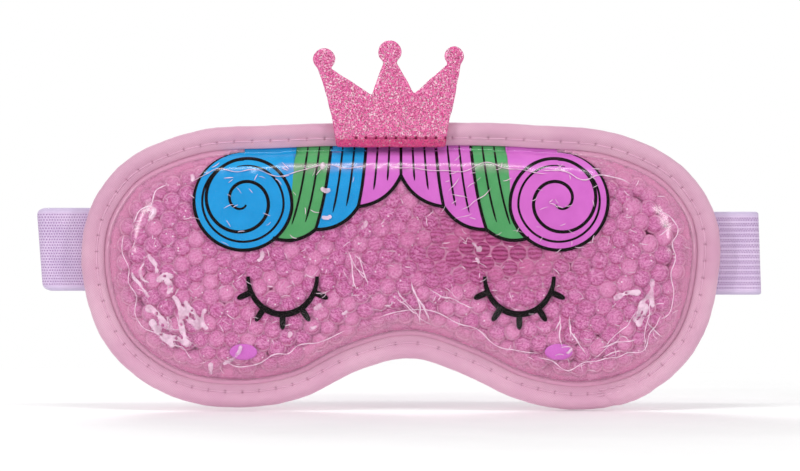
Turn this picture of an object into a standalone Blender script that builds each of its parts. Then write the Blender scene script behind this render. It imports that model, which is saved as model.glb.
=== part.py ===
"""Gel-bead eye mask with a sewn-on crown and an elastic strap.

The mask stands upright: +X to the right, +Z up, and its front faces -Y.
The origin is the middle of the flat cloth face that rests on the wearer.
Lengths below are in millimetres; MM turns them into metres.

The mask is a sandwich, front to back: clear film, gel beads, back film and a
cloth panel, closed all round by a folded binding tape. Each elastic strap is
sewn to the back of the binding, turns back on itself at the mask's side and
runs behind the mask to a hook-and-loop closure. A band swings out about its
turn, the hook tab peels about the band's end and the crown tips forward
about its lower edge.
"""
import math

import bmesh
import bpy
from mathutils import Vector
from mathutils.geometry import interpolate_bezier

MM = 0.001
COLLECTION = "eye_mask"
GAP = 0.3

# Mask outline, (x, z) points of a smooth closed curve, clockwise from the top.
OUTLINE = (
    (0, 44.0), (42, 43.2), (67, 40.4), (86.5, 30.4), (96, 16.8), (96.8, -7),
    (90, -26), (75.5, -39), (56, -43.9), (36, -40.8), (19, -33), (3, -28.1),
    (-13, -31.8), (-30, -40.1), (-48, -43.2), (-71, -39.6), (-89, -26.2),
    (-97.2, -6), (-96, 16), (-86.5, 30.6), (-67, 40.4), (-36, 43.3),
)
STEPS_PER_SPAN = 4

# Depths of the sewn edge; the cloth panel's flat face is at depth 0.
FILM_THICKNESS = 0.4
CLOTH_THICKNESS = 1.0
TAPE_THICKNESS = 0.8
TAPE_WIDTH = 6.4
LAYER_EDGE_INSET = 1.5
CLOTH_EDGE_BACK = -2.0
CLOTH_EDGE_FRONT = CLOTH_EDGE_BACK - CLOTH_THICKNESS
BACK_FILM_EDGE_BACK = CLOTH_EDGE_FRONT - GAP
BACK_FILM_EDGE_FRONT = BACK_FILM_EDGE_BACK - FILM_THICKNESS
FRONT_FILM_EDGE_BACK = BACK_FILM_EDGE_FRONT - GAP
FRONT_FILM_EDGE_FRONT = FRONT_FILM_EDGE_BACK - FILM_THICKNESS
TAPE_FRONT = FRONT_FILM_EDGE_FRONT - GAP - TAPE_THICKNESS
TAPE_BACK = CLOTH_EDGE_BACK + GAP + TAPE_THICKNESS

# How far behind its sewn edge the cloth panel stands at each inset, and how
# far in front of its welded flange the clear film bulges over the beads.
PANEL_RISE = ((7.0, 0.0), (11.0, 1.0), (15.5, 2.0))
FILM_BULGE = ((10.0, 0.0), (11.4, 2.8), (14.2, 5.4), (18.6, 7.5), (24.0, 8.6))
BEAD_CLEARANCE = 0.6

# A thread lies in a narrow space between two layers or on top of one.
THREAD_RADIUS = 0.2
THREAD_GAP = 0.15
THREAD_ROOM = 2 * (THREAD_RADIUS + THREAD_GAP)
THREAD_RESOLUTION = 1
SEAM_INSET = 4.7
CURVE_STEPS = 10

# Crown, in the mask's (x, z) plane.
CROWN_LAYER = 1.2
CROWN_BOTTOM = 36.5
CROWN_BOTTOM_LEFT = -19.6
CROWN_BOTTOM_RIGHT = 13.4
CROWN_LEFT_SIDE = ((-20.9, 44.5), (-22.6, 52.0))
CROWN_RIGHT_SIDE = ((16.5, 52.0), (14.7, 44.5))
CROWN_LEFT_VALLEY = (-8.9, 52.3)
CROWN_RIGHT_VALLEY = (4.0, 52.7)
CROWN_BALLS = (((-23.5, 63.4), 3.4), ((-3.4, 65.5), 3.6), ((16.3, 64.3), 3.0))
CROWN_NECK = 1.9
CROWN_SEAM_HEIGHT = 39.3
CROWN_SEAM_MARGIN = 1.5

# Straps, in the (x, y) plane; the left strap is the one at -X.
STRAP_WIDTH = 25.0
STRAP_THICKNESS = 1.4
STRAP_LEFT_HEIGHT = 5.2
STRAP_RIGHT_HEIGHT = 4.0
TURN_X = 108.0
TURN_RADIUS = 2.5
TURN_STEPS = 8
TAB_DEPTH = TAPE_BACK + THREAD_ROOM + STRAP_THICKNESS / 2
TAB_END_X = 87.0
TACK_X = 91.5
TACK_HEIGHT = 19.0
TACK_WIDTH = 1.6
TACK_ZIGZAGS = 12
RIGHT_BAND_END_X = 5.0

# Hook-and-loop closure behind the mask.
LOOP_THICKNESS = 1.2
LOOP_WIDTH = 22.0
LOOP_START_X = 8.0
LOOP_LENGTH = 64.0
HOOK_THICKNESS = 1.0
HOOK_WIDTH = 20.0
HOOK_LENGTH = 36.0
LEFT_BAND_END_X = 20.0
LEFT_BAND_LEVEL_X = 4.0
HOOK_SEAM_START_X = 11.5
HOOK_SEAM_LENGTH = 7.0
SEAM_MARGIN = 2.0


def clear_scene():
    """Remove everything a new Blender file starts with."""
    for item in list(bpy.data.objects):
        bpy.data.objects.remove(item, do_unlink=True)


def new_collection(name):
    """A collection for the mask's parts, linked to the scene."""
    collection = bpy.data.collections.new(name)
    bpy.context.scene.collection.children.link(collection)
    return collection


def linear(channel):
    """One 0-255 screen colour channel as the linear value shaders use."""
    value = channel / 255
    if value <= 0.04045:
        return value / 12.92
    return ((value + 0.055) / 1.055) ** 2.4


def material(name, screen_colour, roughness, metallic=0.0, alpha=1.0):
    """A Principled material in a screen colour."""
    result = bpy.data.materials.new(name)
    result.use_nodes = True
    shader = result.node_tree.nodes["Principled BSDF"]
    colour = [linear(channel) for channel in screen_colour]
    shader.inputs["Base Color"].default_value = (*colour, 1.0)
    shader.inputs["Roughness"].default_value = roughness
    shader.inputs["Metallic"].default_value = metallic
    shader.inputs["Alpha"].default_value = alpha
    result.diffuse_color = (*colour, alpha)
    return result


def metres(point):
    """A point in millimetres as a vector in metres."""
    return Vector(point) * MM


def place(item, collection, finish, pivot=None):
    """Put an object in the collection, give it its material and its pivot."""
    item.data.materials.append(finish)
    collection.objects.link(item)
    if pivot is not None:
        item.location = item.location - pivot.location
        item.parent = pivot
    return item


def add_pivot(name, point, collection):
    """An empty on a joint's axis, which a moving piece is parented to."""
    pivot = bpy.data.objects.new(name, None)
    pivot.empty_display_size = 10 * MM
    pivot.location = metres(point)
    collection.objects.link(pivot)
    return pivot


def span_handles(before, start, end, after):
    """Bezier handles that carry a smooth curve from start to end."""
    lengths = [(b - a).length for a, b in ((before, start), (start, end), (end, after))]
    slope_start = ((end - start) / lengths[1] * lengths[0]
                   + (start - before) / lengths[0] * lengths[1]) / (lengths[0] + lengths[1])
    slope_end = ((after - end) / lengths[2] * lengths[1]
                 + (end - start) / lengths[1] * lengths[2]) / (lengths[1] + lengths[2])
    third = lengths[1] / 3
    return start + slope_start * third, end - slope_end * third


def smooth_outline():
    """The mask outline as evenly divided spans, in millimetres."""
    corners = [Vector((x, 0, z)) for x, z in OUTLINE]
    count = len(corners)
    points = []
    for index, start in enumerate(corners):
        before = corners[index - 1]
        end = corners[(index + 1) % count]
        after = corners[(index + 2) % count]
        handle_out, handle_in = span_handles(before, start, end, after)
        span = interpolate_bezier(start, handle_out, handle_in, end, STEPS_PER_SPAN + 1)
        points.extend(span[:-1])
    return points


def outline_ring(inset, depth):
    """The outline moved inwards by inset, at one depth."""
    points = smooth_outline()
    ring = []
    for index, point in enumerate(points):
        along = (points[(index + 1) % len(points)] - points[index - 1]).normalized()
        inwards = Vector((along.z, 0, -along.x))
        moved = point + inwards * inset
        ring.append(Vector((moved.x, depth, moved.z)))
    return ring


def loft_object(name, sections, closed):
    """A closed solid lofted through (inset, depth) sections of the outline.

    A closed loft joins its last section to its first, as a ring does; an
    open one is capped by a flat face at each end.
    """
    mesh = bmesh.new()
    rings = []
    for inset, depth in sections:
        rings.append([mesh.verts.new(metres(point)) for point in outline_ring(inset, depth)])
    pairs = list(zip(rings, rings[1:]))
    if closed:
        pairs.append((rings[-1], rings[0]))
    for lower, upper in pairs:
        for index in range(len(lower)):
            following = (index + 1) % len(lower)
            mesh.faces.new((lower[index], lower[following], upper[following], upper[index]))
    if not closed:
        mesh.faces.new(rings[0])
        mesh.faces.new(rings[-1])
    bmesh.ops.recalc_face_normals(mesh, faces=mesh.faces)
    data = bpy.data.meshes.new(name)
    mesh.to_mesh(data)
    mesh.free()
    data.shade_smooth()
    data.set_sharp_from_angle(angle=math.radians(40))
    return bpy.data.objects.new(name, data)


def flat_shape(name, points, thickness):
    """A flat outline in local x and y, thickened equally to both sides."""
    curve = bpy.data.curves.new(name, "CURVE")
    curve.dimensions = "2D"
    curve.fill_mode = "BOTH"
    curve.extrude = thickness / 2 * MM
    spline = curve.splines.new("POLY")
    spline.points.add(len(points) - 1)
    for control, (x, y) in zip(spline.points, points):
        control.co = (x * MM, y * MM, 0, 1)
    spline.use_cyclic_u = True
    return bpy.data.objects.new(name, curve)


def thread(name, points, cyclic=False):
    """A sewing thread along world points in millimetres."""
    curve = bpy.data.curves.new(name, "CURVE")
    curve.dimensions = "3D"
    curve.bevel_depth = THREAD_RADIUS * MM
    curve.bevel_resolution = THREAD_RESOLUTION
    curve.use_fill_caps = True
    spline = curve.splines.new("POLY")
    spline.points.add(len(points) - 1)
    for control, point in zip(spline.points, points):
        control.co = (*metres(point), 1)
    spline.use_cyclic_u = cyclic
    return bpy.data.objects.new(name, curve)


def panel_profile(back_depth, front_depth):
    """Sections of a thin layer that follows the cloth panel's rise."""
    back = [(LAYER_EDGE_INSET, back_depth)]
    back += [(inset, back_depth + rise) for inset, rise in PANEL_RISE]
    front = [(LAYER_EDGE_INSET, front_depth)]
    front += [(inset, front_depth + rise) for inset, rise in PANEL_RISE]
    return back[::-1] + front


def make_back_panel(collection):
    """The cloth panel whose flat face rests on the wearer."""
    cloth = material("pink_cloth", (224, 150, 186), 0.9)
    sections = panel_profile(CLOTH_EDGE_BACK, CLOTH_EDGE_FRONT)
    return place(loft_object("back_panel", sections, False), collection, cloth)


def make_back_film(collection):
    """The plain film that closes the bead pack from behind."""
    film = material("back_film_vinyl", (236, 190, 214), 0.25, alpha=0.6)
    sections = panel_profile(BACK_FILM_EDGE_BACK, BACK_FILM_EDGE_FRONT)
    return place(loft_object("back_film", sections, False), collection, film)


def make_front_film(collection):
    """The clear glossy film that bulges over the beads."""
    film = material("front_film_vinyl", (214, 110, 165), 0.08, alpha=0.35)
    outer = [(LAYER_EDGE_INSET, FRONT_FILM_EDGE_FRONT)]
    outer += [(inset, FRONT_FILM_EDGE_FRONT - bulge) for inset, bulge in FILM_BULGE]
    inner = [(LAYER_EDGE_INSET, FRONT_FILM_EDGE_BACK)]
    inner += [(inset + FILM_THICKNESS, FRONT_FILM_EDGE_BACK - bulge)
              for inset, bulge in FILM_BULGE]
    return place(loft_object("front_film", outer[::-1] + inner, False), collection, film)


def make_bead_fill(collection):
    """The gel beads between the two films, as one soft mass."""
    gel = material("gel_beads", (214, 100, 160), 0.15, alpha=0.8)
    front = [(inset + BEAD_CLEARANCE, FRONT_FILM_EDGE_BACK - bulge + BEAD_CLEARANCE)
             for inset, bulge in FILM_BULGE[1:]]
    back = [(inset, BACK_FILM_EDGE_FRONT - GAP + rise)
            for inset, rise in PANEL_RISE if inset > FILM_BULGE[1][0]]
    return place(loft_object("bead_fill", front[::-1] + back, False), collection, gel)


def make_edge_binding(collection):
    """The woven tape folded round the sandwich's edge, a U in section."""
    tape = material("binding_tape", (226, 172, 202), 0.85)
    fold = TAPE_THICKNESS
    sections = [
        (TAPE_WIDTH, TAPE_FRONT), (fold, TAPE_FRONT), (0.0, TAPE_FRONT + fold),
        (0.0, TAPE_BACK - fold), (fold, TAPE_BACK), (TAPE_WIDTH, TAPE_BACK),
        (TAPE_WIDTH, TAPE_BACK - TAPE_THICKNESS),
        (LAYER_EDGE_INSET - GAP, TAPE_BACK - TAPE_THICKNESS),
        (LAYER_EDGE_INSET - GAP, TAPE_FRONT + TAPE_THICKNESS),
        (TAPE_WIDTH, TAPE_FRONT + TAPE_THICKNESS),
    ]
    return place(loft_object("edge_binding", sections, True), collection, tape)


def make_binding_threads(collection):
    """The two threads of the lockstitch that holds the binding."""
    cotton = material("pink_thread", (214, 150, 186), 0.7)
    front_depth = TAPE_FRONT - THREAD_ROOM / 2
    back_depth = TAPE_BACK + THREAD_ROOM / 2
    needle = thread("binding_needle_thread", outline_ring(SEAM_INSET, front_depth), True)
    bobbin = thread("binding_bobbin_thread", outline_ring(SEAM_INSET, back_depth), True)
    place(needle, collection, cotton)
    place(bobbin, collection, cotton)


def arc(centre, radius, start, end, steps):
    """Points on an arc, angles in degrees, anticlockwise if end > start."""
    points = []
    for step in range(steps + 1):
        angle = math.radians(start + (end - start) * step / steps)
        points.append((centre[0] + radius * math.cos(angle),
                       centre[1] + radius * math.sin(angle)))
    return points


def ball_arc(ball):
    """A prong's ball, from its neck's left side over the top to the right."""
    centre, radius = ball
    open_angle = math.degrees(math.asin(CROWN_NECK / radius))
    return arc(centre, radius, 270 - open_angle, open_angle - 90, CURVE_STEPS)


def crown_outline():
    """The crown's outline in (x, z), clockwise from its lower left corner."""
    left, middle, right = CROWN_BALLS
    points = [(CROWN_BOTTOM_LEFT, CROWN_BOTTOM)]
    points += CROWN_LEFT_SIDE
    points += ball_arc(left)
    points.append(CROWN_LEFT_VALLEY)
    points += ball_arc(middle)
    points.append(CROWN_RIGHT_VALLEY)
    points += ball_arc(right)
    points += CROWN_RIGHT_SIDE
    points.append((CROWN_BOTTOM_RIGHT, CROWN_BOTTOM))
    return points


def crown_layer(name, back_depth, pivot, collection, finish):
    """One layer of the crown, standing in the x-z plane."""
    layer = flat_shape(name, crown_outline(), CROWN_LAYER)
    layer.rotation_euler = (math.radians(90), 0, 0)
    layer.location = metres((0, back_depth - CROWN_LAYER / 2, 0))
    return place(layer, collection, finish, pivot)


def make_crown(collection):
    """The crown: a felt backing, a glitter face and the thread through both."""
    felt = material("crown_felt", (226, 120, 170), 0.95)
    glitter = material("crown_glitter", (232, 100, 158), 0.45, metallic=0.3)
    cotton = material("crown_cotton", (226, 110, 164), 0.7)
    back_depth = TAPE_FRONT - THREAD_ROOM
    face_depth = back_depth - CROWN_LAYER - GAP
    pivot = add_pivot("crown_pivot", (0, back_depth, CROWN_BOTTOM), collection)
    crown_layer("crown_backing", back_depth, pivot, collection, felt)
    crown_layer("crown_face", face_depth, pivot, collection, glitter)
    thread_depth = face_depth - CROWN_LAYER - THREAD_ROOM / 2
    left_end = (CROWN_BOTTOM_LEFT + CROWN_SEAM_MARGIN, thread_depth, CROWN_SEAM_HEIGHT)
    right_end = (CROWN_BOTTOM_RIGHT - CROWN_SEAM_MARGIN, thread_depth, CROWN_SEAM_HEIGHT)
    place(thread("crown_thread", (left_end, right_end)), collection, cotton, pivot)


def ribbon(name, path, thickness, width, height):
    """A strip of tape: a path in x and y, thickened, with its width upright."""
    nodes = [Vector(point) for point in path]
    left, right = [], []
    for index, node in enumerate(nodes):
        start = nodes[max(index - 1, 0)]
        end = nodes[min(index + 1, len(nodes) - 1)]
        along = (end - start).normalized()
        across = Vector((-along.y, along.x)) * (thickness / 2)
        left.append(tuple(node + across))
        right.append(tuple(node - across))
    strip = flat_shape(name, left + right[::-1], width)
    strip.location = metres((0, 0, height))
    return strip


def tab_path(side):
    """From the sewn end of a tab out to the strap's turn and round it."""
    centre = (side * TURN_X, TAB_DEPTH + TURN_RADIUS)
    turn = arc(centre, TURN_RADIUS, -90, 90, TURN_STEPS)
    if side < 0:
        turn = arc(centre, TURN_RADIUS, 270, 90, TURN_STEPS)
    return [(side * TAB_END_X, TAB_DEPTH)] + turn


def tack_points(side, height):
    """A zigzag bar tack on the back of a tab."""
    depth = TAB_DEPTH + STRAP_THICKNESS / 2 + THREAD_ROOM / 2
    points = []
    for index in range(TACK_ZIGZAGS + 1):
        offset = TACK_WIDTH / 2 if index % 2 else -TACK_WIDTH / 2
        rise = TACK_HEIGHT * (index / TACK_ZIGZAGS - 0.5)
        points.append((side * TACK_X + offset, depth, height + rise))
    return points


def box_seam(start_x, end_x, half_height, depth, height):
    """The corners of a rectangular row of stitches."""
    return [(start_x, depth, height - half_height), (end_x, depth, height - half_height),
            (end_x, depth, height + half_height), (start_x, depth, height + half_height)]


def band_depth():
    """Depth of a band's middle where it leaves the strap's turn."""
    return TAB_DEPTH + 2 * TURN_RADIUS


def loop_depth():
    """Depth of the loop patch's middle, on the right band's outer face."""
    return band_depth() + STRAP_THICKNESS / 2 + GAP + LOOP_THICKNESS / 2


def closure_depth():
    """Depth at which the left band's end and hook tab lie on the patch."""
    return loop_depth() + LOOP_THICKNESS / 2 + THREAD_ROOM


def make_left_strap(collection):
    """The left strap: sewn tab with its turn, long band and their threads."""
    elastic = material("lilac_elastic", (214, 190, 224), 0.8)
    cotton = material("lilac_thread", (206, 176, 216), 0.7)
    height = STRAP_LEFT_HEIGHT
    place(ribbon("strap_left_tab", tab_path(-1), STRAP_THICKNESS, STRAP_WIDTH, height),
          collection, elastic)
    place(thread("strap_left_tack", tack_points(-1, height)), collection, cotton)
    turn_centre = (-TURN_X, TAB_DEPTH + TURN_RADIUS, height)
    pivot = add_pivot("strap_left_pivot", turn_centre, collection)
    end_depth = closure_depth() + STRAP_THICKNESS / 2
    path = [(-TURN_X + GAP, band_depth()), (LEFT_BAND_LEVEL_X, end_depth),
            (LEFT_BAND_END_X, end_depth)]
    place(ribbon("strap_left_band", path, STRAP_THICKNESS, STRAP_WIDTH, height),
          collection, elastic, pivot)
    seam_depth = end_depth + STRAP_THICKNESS / 2 + THREAD_ROOM / 2
    seam_end_x = HOOK_SEAM_START_X + HOOK_SEAM_LENGTH
    seam = box_seam(HOOK_SEAM_START_X, seam_end_x, HOOK_WIDTH / 2 - SEAM_MARGIN,
                    seam_depth, height)
    place(thread("hook_tab_thread", seam, True), collection, cotton, pivot)
    return pivot


def make_hook_tab(collection, band_pivot):
    """The hook tape at the left band's end, which peels off the patch."""
    hooks = material("hook_tape", (222, 200, 228), 0.6)
    outer_depth = closure_depth() + STRAP_THICKNESS
    hinge_x = LEFT_BAND_END_X + GAP
    pivot = add_pivot("hook_tab_pivot", (hinge_x, outer_depth, STRAP_LEFT_HEIGHT), collection)
    middle = closure_depth() + HOOK_THICKNESS / 2
    path = [(hinge_x + GAP, middle), (hinge_x + GAP + HOOK_LENGTH, middle)]
    tab = ribbon("hook_tab", path, HOOK_THICKNESS, HOOK_WIDTH, STRAP_LEFT_HEIGHT)
    place(tab, collection, hooks, pivot)
    pivot.location = pivot.location - band_pivot.location
    pivot.parent = band_pivot


def make_right_strap(collection):
    """The right strap: sewn tab with its turn, short band and loop patch."""
    elastic = material("lilac_elastic_right", (214, 190, 224), 0.8)
    cotton = material("lilac_thread_right", (206, 176, 216), 0.7)
    loops = material("loop_tape", (220, 196, 226), 0.95)
    height = STRAP_RIGHT_HEIGHT
    place(ribbon("strap_right_tab", tab_path(1), STRAP_THICKNESS, STRAP_WIDTH, height),
          collection, elastic)
    place(thread("strap_right_tack", tack_points(1, height)), collection, cotton)
    turn_centre = (TURN_X, TAB_DEPTH + TURN_RADIUS, height)
    pivot = add_pivot("strap_right_pivot", turn_centre, collection)
    path = [(TURN_X - GAP, band_depth()), (RIGHT_BAND_END_X, band_depth())]
    place(ribbon("strap_right_band", path, STRAP_THICKNESS, STRAP_WIDTH, height),
          collection, elastic, pivot)
    loop_end_x = LOOP_START_X + LOOP_LENGTH
    path = [(LOOP_START_X, loop_depth()), (loop_end_x, loop_depth())]
    place(ribbon("loop_patch", path, LOOP_THICKNESS, LOOP_WIDTH, height),
          collection, loops, pivot)
    seam_depth = loop_depth() + LOOP_THICKNESS / 2 + THREAD_ROOM / 2
    seam = box_seam(LOOP_START_X + SEAM_MARGIN, loop_end_x - SEAM_MARGIN,
                    LOOP_WIDTH / 2 - SEAM_MARGIN, seam_depth, height)
    place(thread("loop_patch_thread", seam, True), collection, cotton, pivot)


def main():
    clear_scene()
    collection = new_collection(COLLECTION)
    make_back_panel(collection)
    make_back_film(collection)
    make_bead_fill(collection)
    make_front_film(collection)
    make_edge_binding(collection)
    make_binding_threads(collection)
    make_crown(collection)
    left_pivot = make_left_strap(collection)
    make_hook_tab(collection, left_pivot)
    make_right_strap(collection)


main()
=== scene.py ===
"""Looks of the gel-bead eye mask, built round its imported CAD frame.

Everything is worked out in millimetres and turned into metres when a mesh is
made. +X is to the right, +Z is up and the printed front faces -Y, so a point
of the mask is (x, depth, z) and a smaller depth is nearer to the viewer.
"""
import math

import bmesh
import bpy
import numpy as np
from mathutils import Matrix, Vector
from mathutils.geometry import delaunay_2d_cdt


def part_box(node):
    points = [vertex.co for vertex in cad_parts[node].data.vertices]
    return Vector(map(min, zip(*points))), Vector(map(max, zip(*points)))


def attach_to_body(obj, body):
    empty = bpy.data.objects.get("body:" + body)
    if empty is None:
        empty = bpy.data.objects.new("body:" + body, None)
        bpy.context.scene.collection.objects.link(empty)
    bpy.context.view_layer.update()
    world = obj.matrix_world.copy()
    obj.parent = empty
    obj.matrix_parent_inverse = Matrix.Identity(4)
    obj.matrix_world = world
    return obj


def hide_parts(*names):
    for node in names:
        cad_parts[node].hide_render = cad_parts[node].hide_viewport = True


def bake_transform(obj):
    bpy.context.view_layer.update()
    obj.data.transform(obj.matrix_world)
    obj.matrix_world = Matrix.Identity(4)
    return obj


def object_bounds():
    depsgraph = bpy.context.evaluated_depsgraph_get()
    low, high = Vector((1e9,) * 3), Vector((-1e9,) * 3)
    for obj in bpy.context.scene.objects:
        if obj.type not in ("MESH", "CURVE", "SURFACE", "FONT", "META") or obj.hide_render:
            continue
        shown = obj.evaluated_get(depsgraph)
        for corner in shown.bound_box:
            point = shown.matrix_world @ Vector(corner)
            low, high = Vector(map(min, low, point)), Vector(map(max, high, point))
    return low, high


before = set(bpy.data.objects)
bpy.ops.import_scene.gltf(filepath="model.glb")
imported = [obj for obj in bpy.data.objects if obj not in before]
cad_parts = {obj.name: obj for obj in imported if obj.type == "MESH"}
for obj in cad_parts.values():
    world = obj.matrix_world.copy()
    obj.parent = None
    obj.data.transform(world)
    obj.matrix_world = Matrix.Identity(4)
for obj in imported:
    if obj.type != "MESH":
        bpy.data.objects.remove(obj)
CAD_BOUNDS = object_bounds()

MM = 0.001
RANDOM_SEED = 11
CHUNK = 4000

# Film over the beads: inset at which it leaves the weld, and at which it is full.
WELD_INSET = 8.4
FULL_INSET = 24.0
FILM_THICKNESS = 0.3
CAD_FILM_THICKNESS = 0.4
FILM_SPACING = 0.6
FILM_EDGE_INSET = 2.2
# Near the rim the film is a little milky.
VEIL_SHARE = 0.45
VEIL_INSET = 15.5
VEIL_WIDTH = 6.0
BEAD_COUNT = 1010
BEAD_TRIES = 1700
# How beads are packed: rounds of pushing, how near two may lie as a share of
# their radii, how far each round parts them, and their room from the weld.
BEAD_ROUNDS = 120
BEAD_NESTING = 0.985
BEAD_STEP = 0.3
BEAD_ROOM = 0.72
BACK_BEAD_HAZE = 0.35
BEAD_RADIUS = 2.85
BEAD_RADIUS_SPREAD = 0.2
BEAD_SPREAD = 1.16
RIM_ROOM_INSET = 22.0
RIM_SLACK = 0.26
BEAD_PUSH = 0.32
BEAD_PUSH_WIDTH = 1.7

# Where the back film's front face bends, and its depths there.
PANEL_INSETS = (7.0, 11.0, 15.5)
PANEL_FRONT_DEPTHS = (-3.7, -2.7, -1.7)

STITCH_LENGTH = 5.6
STITCH_RADIUS = 0.16


# ---------------------------------------------------------------- geometry

def box_mm(node):
    """The lowest and highest corners of a CAD node, in millimetres."""
    low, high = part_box(node)
    return np.array(low) / MM, np.array(high) / MM


def in_space(spots, depth):
    """(x, depth, z) points from (x, z) spots and their depths."""
    return np.stack((spots[:, 0], np.ones(len(spots)) * depth, spots[:, 1]), 1)


def closed_up(loop):
    """A loop's points with the first one repeated at the end."""
    return np.vstack((loop, loop[:1]))


def unit(vectors):
    """Vectors scaled to length one."""
    return vectors / np.maximum(np.linalg.norm(vectors, axis=1)[:, None], 1e-9)


def open_edges(faces):
    """Directed edges that only one face uses."""
    edges = {}
    for face in faces:
        for start, end in zip(face, face[1:] + face[:1]):
            if edges.pop((end, start), None) is None:
                edges[(start, end)] = True
    return list(edges)


def flat_face_loops(node, depth):
    """Boundary loops of a CAD node's flat face at one depth, longest first."""
    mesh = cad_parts[node].data
    mesh.calc_loop_triangles()
    spots = [tuple(round(value / MM, 3) for value in vert.co) for vert in mesh.vertices]
    triangles = [[spots[index] for index in triangle.vertices] for triangle in mesh.loop_triangles]
    following = dict(open_edges([corners for corners in triangles if
                                 all(abs(corner[1] - depth) <= 0.01 for corner in corners)]))
    loops = []
    while following:
        start, spot = next(iter(following.items()))
        del following[start]
        loop = [start]
        while spot != start:
            loop.append(spot)
            spot = following.pop(spot)
        loops.append(np.array([(x, z) for x, _, z in loop]))
    return sorted(loops, key=closed_length, reverse=True)


def closed_length(points):
    """Length of a closed polyline."""
    return np.linalg.norm(np.roll(points, -1, 0) - points, axis=1).sum()


def smooth_closed(points, steps):
    """A closed Catmull-Rom curve through points, with steps per span."""
    before, after = np.roll(points, 1, 0), np.roll(points, -1, 0)
    beyond = np.roll(points, -2, 0)
    spans = []
    for step in range(steps):
        t = step / steps
        spans.append(0.5 * (2 * points + (after - before) * t
                            + (2 * before - 5 * points + 4 * after - beyond) * t ** 2
                            + (3 * points - before - 3 * after + beyond) * t ** 3))
    return np.stack(spans, 1).reshape(-1, 2)


def resample(points, spacing):
    """An open polyline with even spacing along its length."""
    lengths = np.linalg.norm(np.diff(points, axis=0), axis=1)
    along = np.concatenate(([0], np.cumsum(lengths)))
    count = max(2, int(round(along[-1] / spacing)) + 1)
    wanted = np.linspace(0, along[-1], count)
    return np.stack([np.interp(wanted, along, column) for column in points.T], 1)


class Outline:
    """The mask's outline: points on it, insets from it and distance to it."""

    def __init__(self, ring, ring_inset):
        points = smooth_closed(ring, 10)
        if signed_area(points) > 0:
            points = points[::-1]
        self.points = points - inward_normals(points) * ring_inset
        self.normals = inward_normals(self.points)
        self.low, self.high = self.points.min(0), self.points.max(0)
        steps = np.linalg.norm(np.roll(self.points, -1, 0) - self.points, axis=1)
        self.along = np.concatenate(([0], np.cumsum(steps)))
        self.length = self.along[-1]

    def at(self, along, inset):
        """Points at arc lengths from the start, moved inwards by inset."""
        along = np.mod(along, self.length)
        place, normal = [np.stack([np.interp(along, self.along, column)
                                   for column in closed_up(values).T], 1)
                         for values in (self.points, self.normals)]
        return place + unit(normal) * np.reshape(inset, (-1, 1))

    def inset(self, spots):
        """How far inside the outline each (x, z) spot is, negative outside."""
        found, apart = nearest(self.points, spots)
        side = (apart * self.normals[found]).sum(1)
        return np.sqrt((apart ** 2).sum(1)) * np.sign(side)


def signed_area(points):
    """Signed area of a closed polyline, positive if anticlockwise."""
    following = np.roll(points, -1, 0)
    return 0.5 * (points[:, 0] * following[:, 1] - following[:, 0] * points[:, 1]).sum()


def inward_normals(points):
    """Unit normals that point into a clockwise closed curve."""
    along = unit(np.roll(points, -1, 0) - np.roll(points, 1, 0))
    return np.stack((along[:, 1], -along[:, 0]), 1)


def sideways(points):
    """Unit normals to the left of an open path."""
    along = unit(np.gradient(points, axis=0))
    return np.stack((-along[:, 1], along[:, 0]), 1)


def ellipse(centre, half, angles):
    """Points round a centre at angles, half being the two half widths."""
    return np.array(centre) + np.array(half) * np.stack((np.cos(angles), np.sin(angles)), 1)


def add_mesh(name, verts, faces, finishes, smooth=True):
    """A mesh object from millimetre vertices, with one or more materials."""
    data = bpy.data.meshes.new(name)
    data.from_pydata([tuple(vert) for vert in np.asarray(verts, float) * MM], [], faces)
    data.update()
    if smooth:
        data.shade_smooth()
    for finish in finishes:
        data.materials.append(finish)
    item = bpy.data.objects.new(name, data)
    bpy.context.scene.collection.objects.link(item)
    return item


def add_solid(name, verts, faces, finishes):
    """A closed mesh object whose faces all point out."""
    item = add_mesh(name, verts, faces, finishes)
    mesh = bmesh.new()
    mesh.from_mesh(item.data)
    bmesh.ops.recalc_face_normals(mesh, faces=mesh.faces)
    mesh.to_mesh(item.data)
    mesh.free()
    return item


def joined(parts):
    """The vertices and faces of several (vertices, faces) parts as one."""
    verts, faces, start = [], [], 0
    for part, part_faces in parts:
        verts.append(part)
        faces += [[index + start for index in face] for face in part_faces]
        start += len(part)
    return np.concatenate(verts), faces


def loft(grid, closed=False):
    """Vertices and faces through rows of closed sections, capped at both ends
    unless the last row joins the first."""
    rows, width = grid.shape[:2]
    faces = []
    for row in range(rows if closed else rows - 1):
        start, following = row * width, (row + 1) % rows * width
        for column in range(width):
            after = (column + 1) % width
            faces.append((start + column, following + column, following + after, start + after))
    if not closed:
        faces.append(tuple(range(width)))
        faces.append(tuple((rows - 1) * width + index for index in reversed(range(width))))
    return grid.reshape(-1, 3), faces


def add_shell(name, front, back, faces, finishes):
    """A closed mesh between two like surfaces, walled along their edges."""
    count = len(front)
    backs = [[index + count for index in reversed(face)] for face in faces]
    walls = [(end, start, start + count, end + count) for start, end in open_edges(faces)]
    return add_solid(name, np.vstack((front, back)), faces + backs + walls, finishes)


def nearest(points, spots):
    """The number of the point nearest to each spot, and the way from it."""
    found = np.empty(len(spots), int)
    for start in range(0, len(spots), CHUNK):
        part = spots[start:start + CHUNK]
        found[start:start + CHUNK] = ((part[:, None] - points[None]) ** 2).sum(2).argmin(1)
    return found, spots - points[found]


def distance_to(points, spots):
    """Distance from each spot to the nearest of a curve's points."""
    return np.sqrt((nearest(points, spots)[1] ** 2).sum(1))


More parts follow.
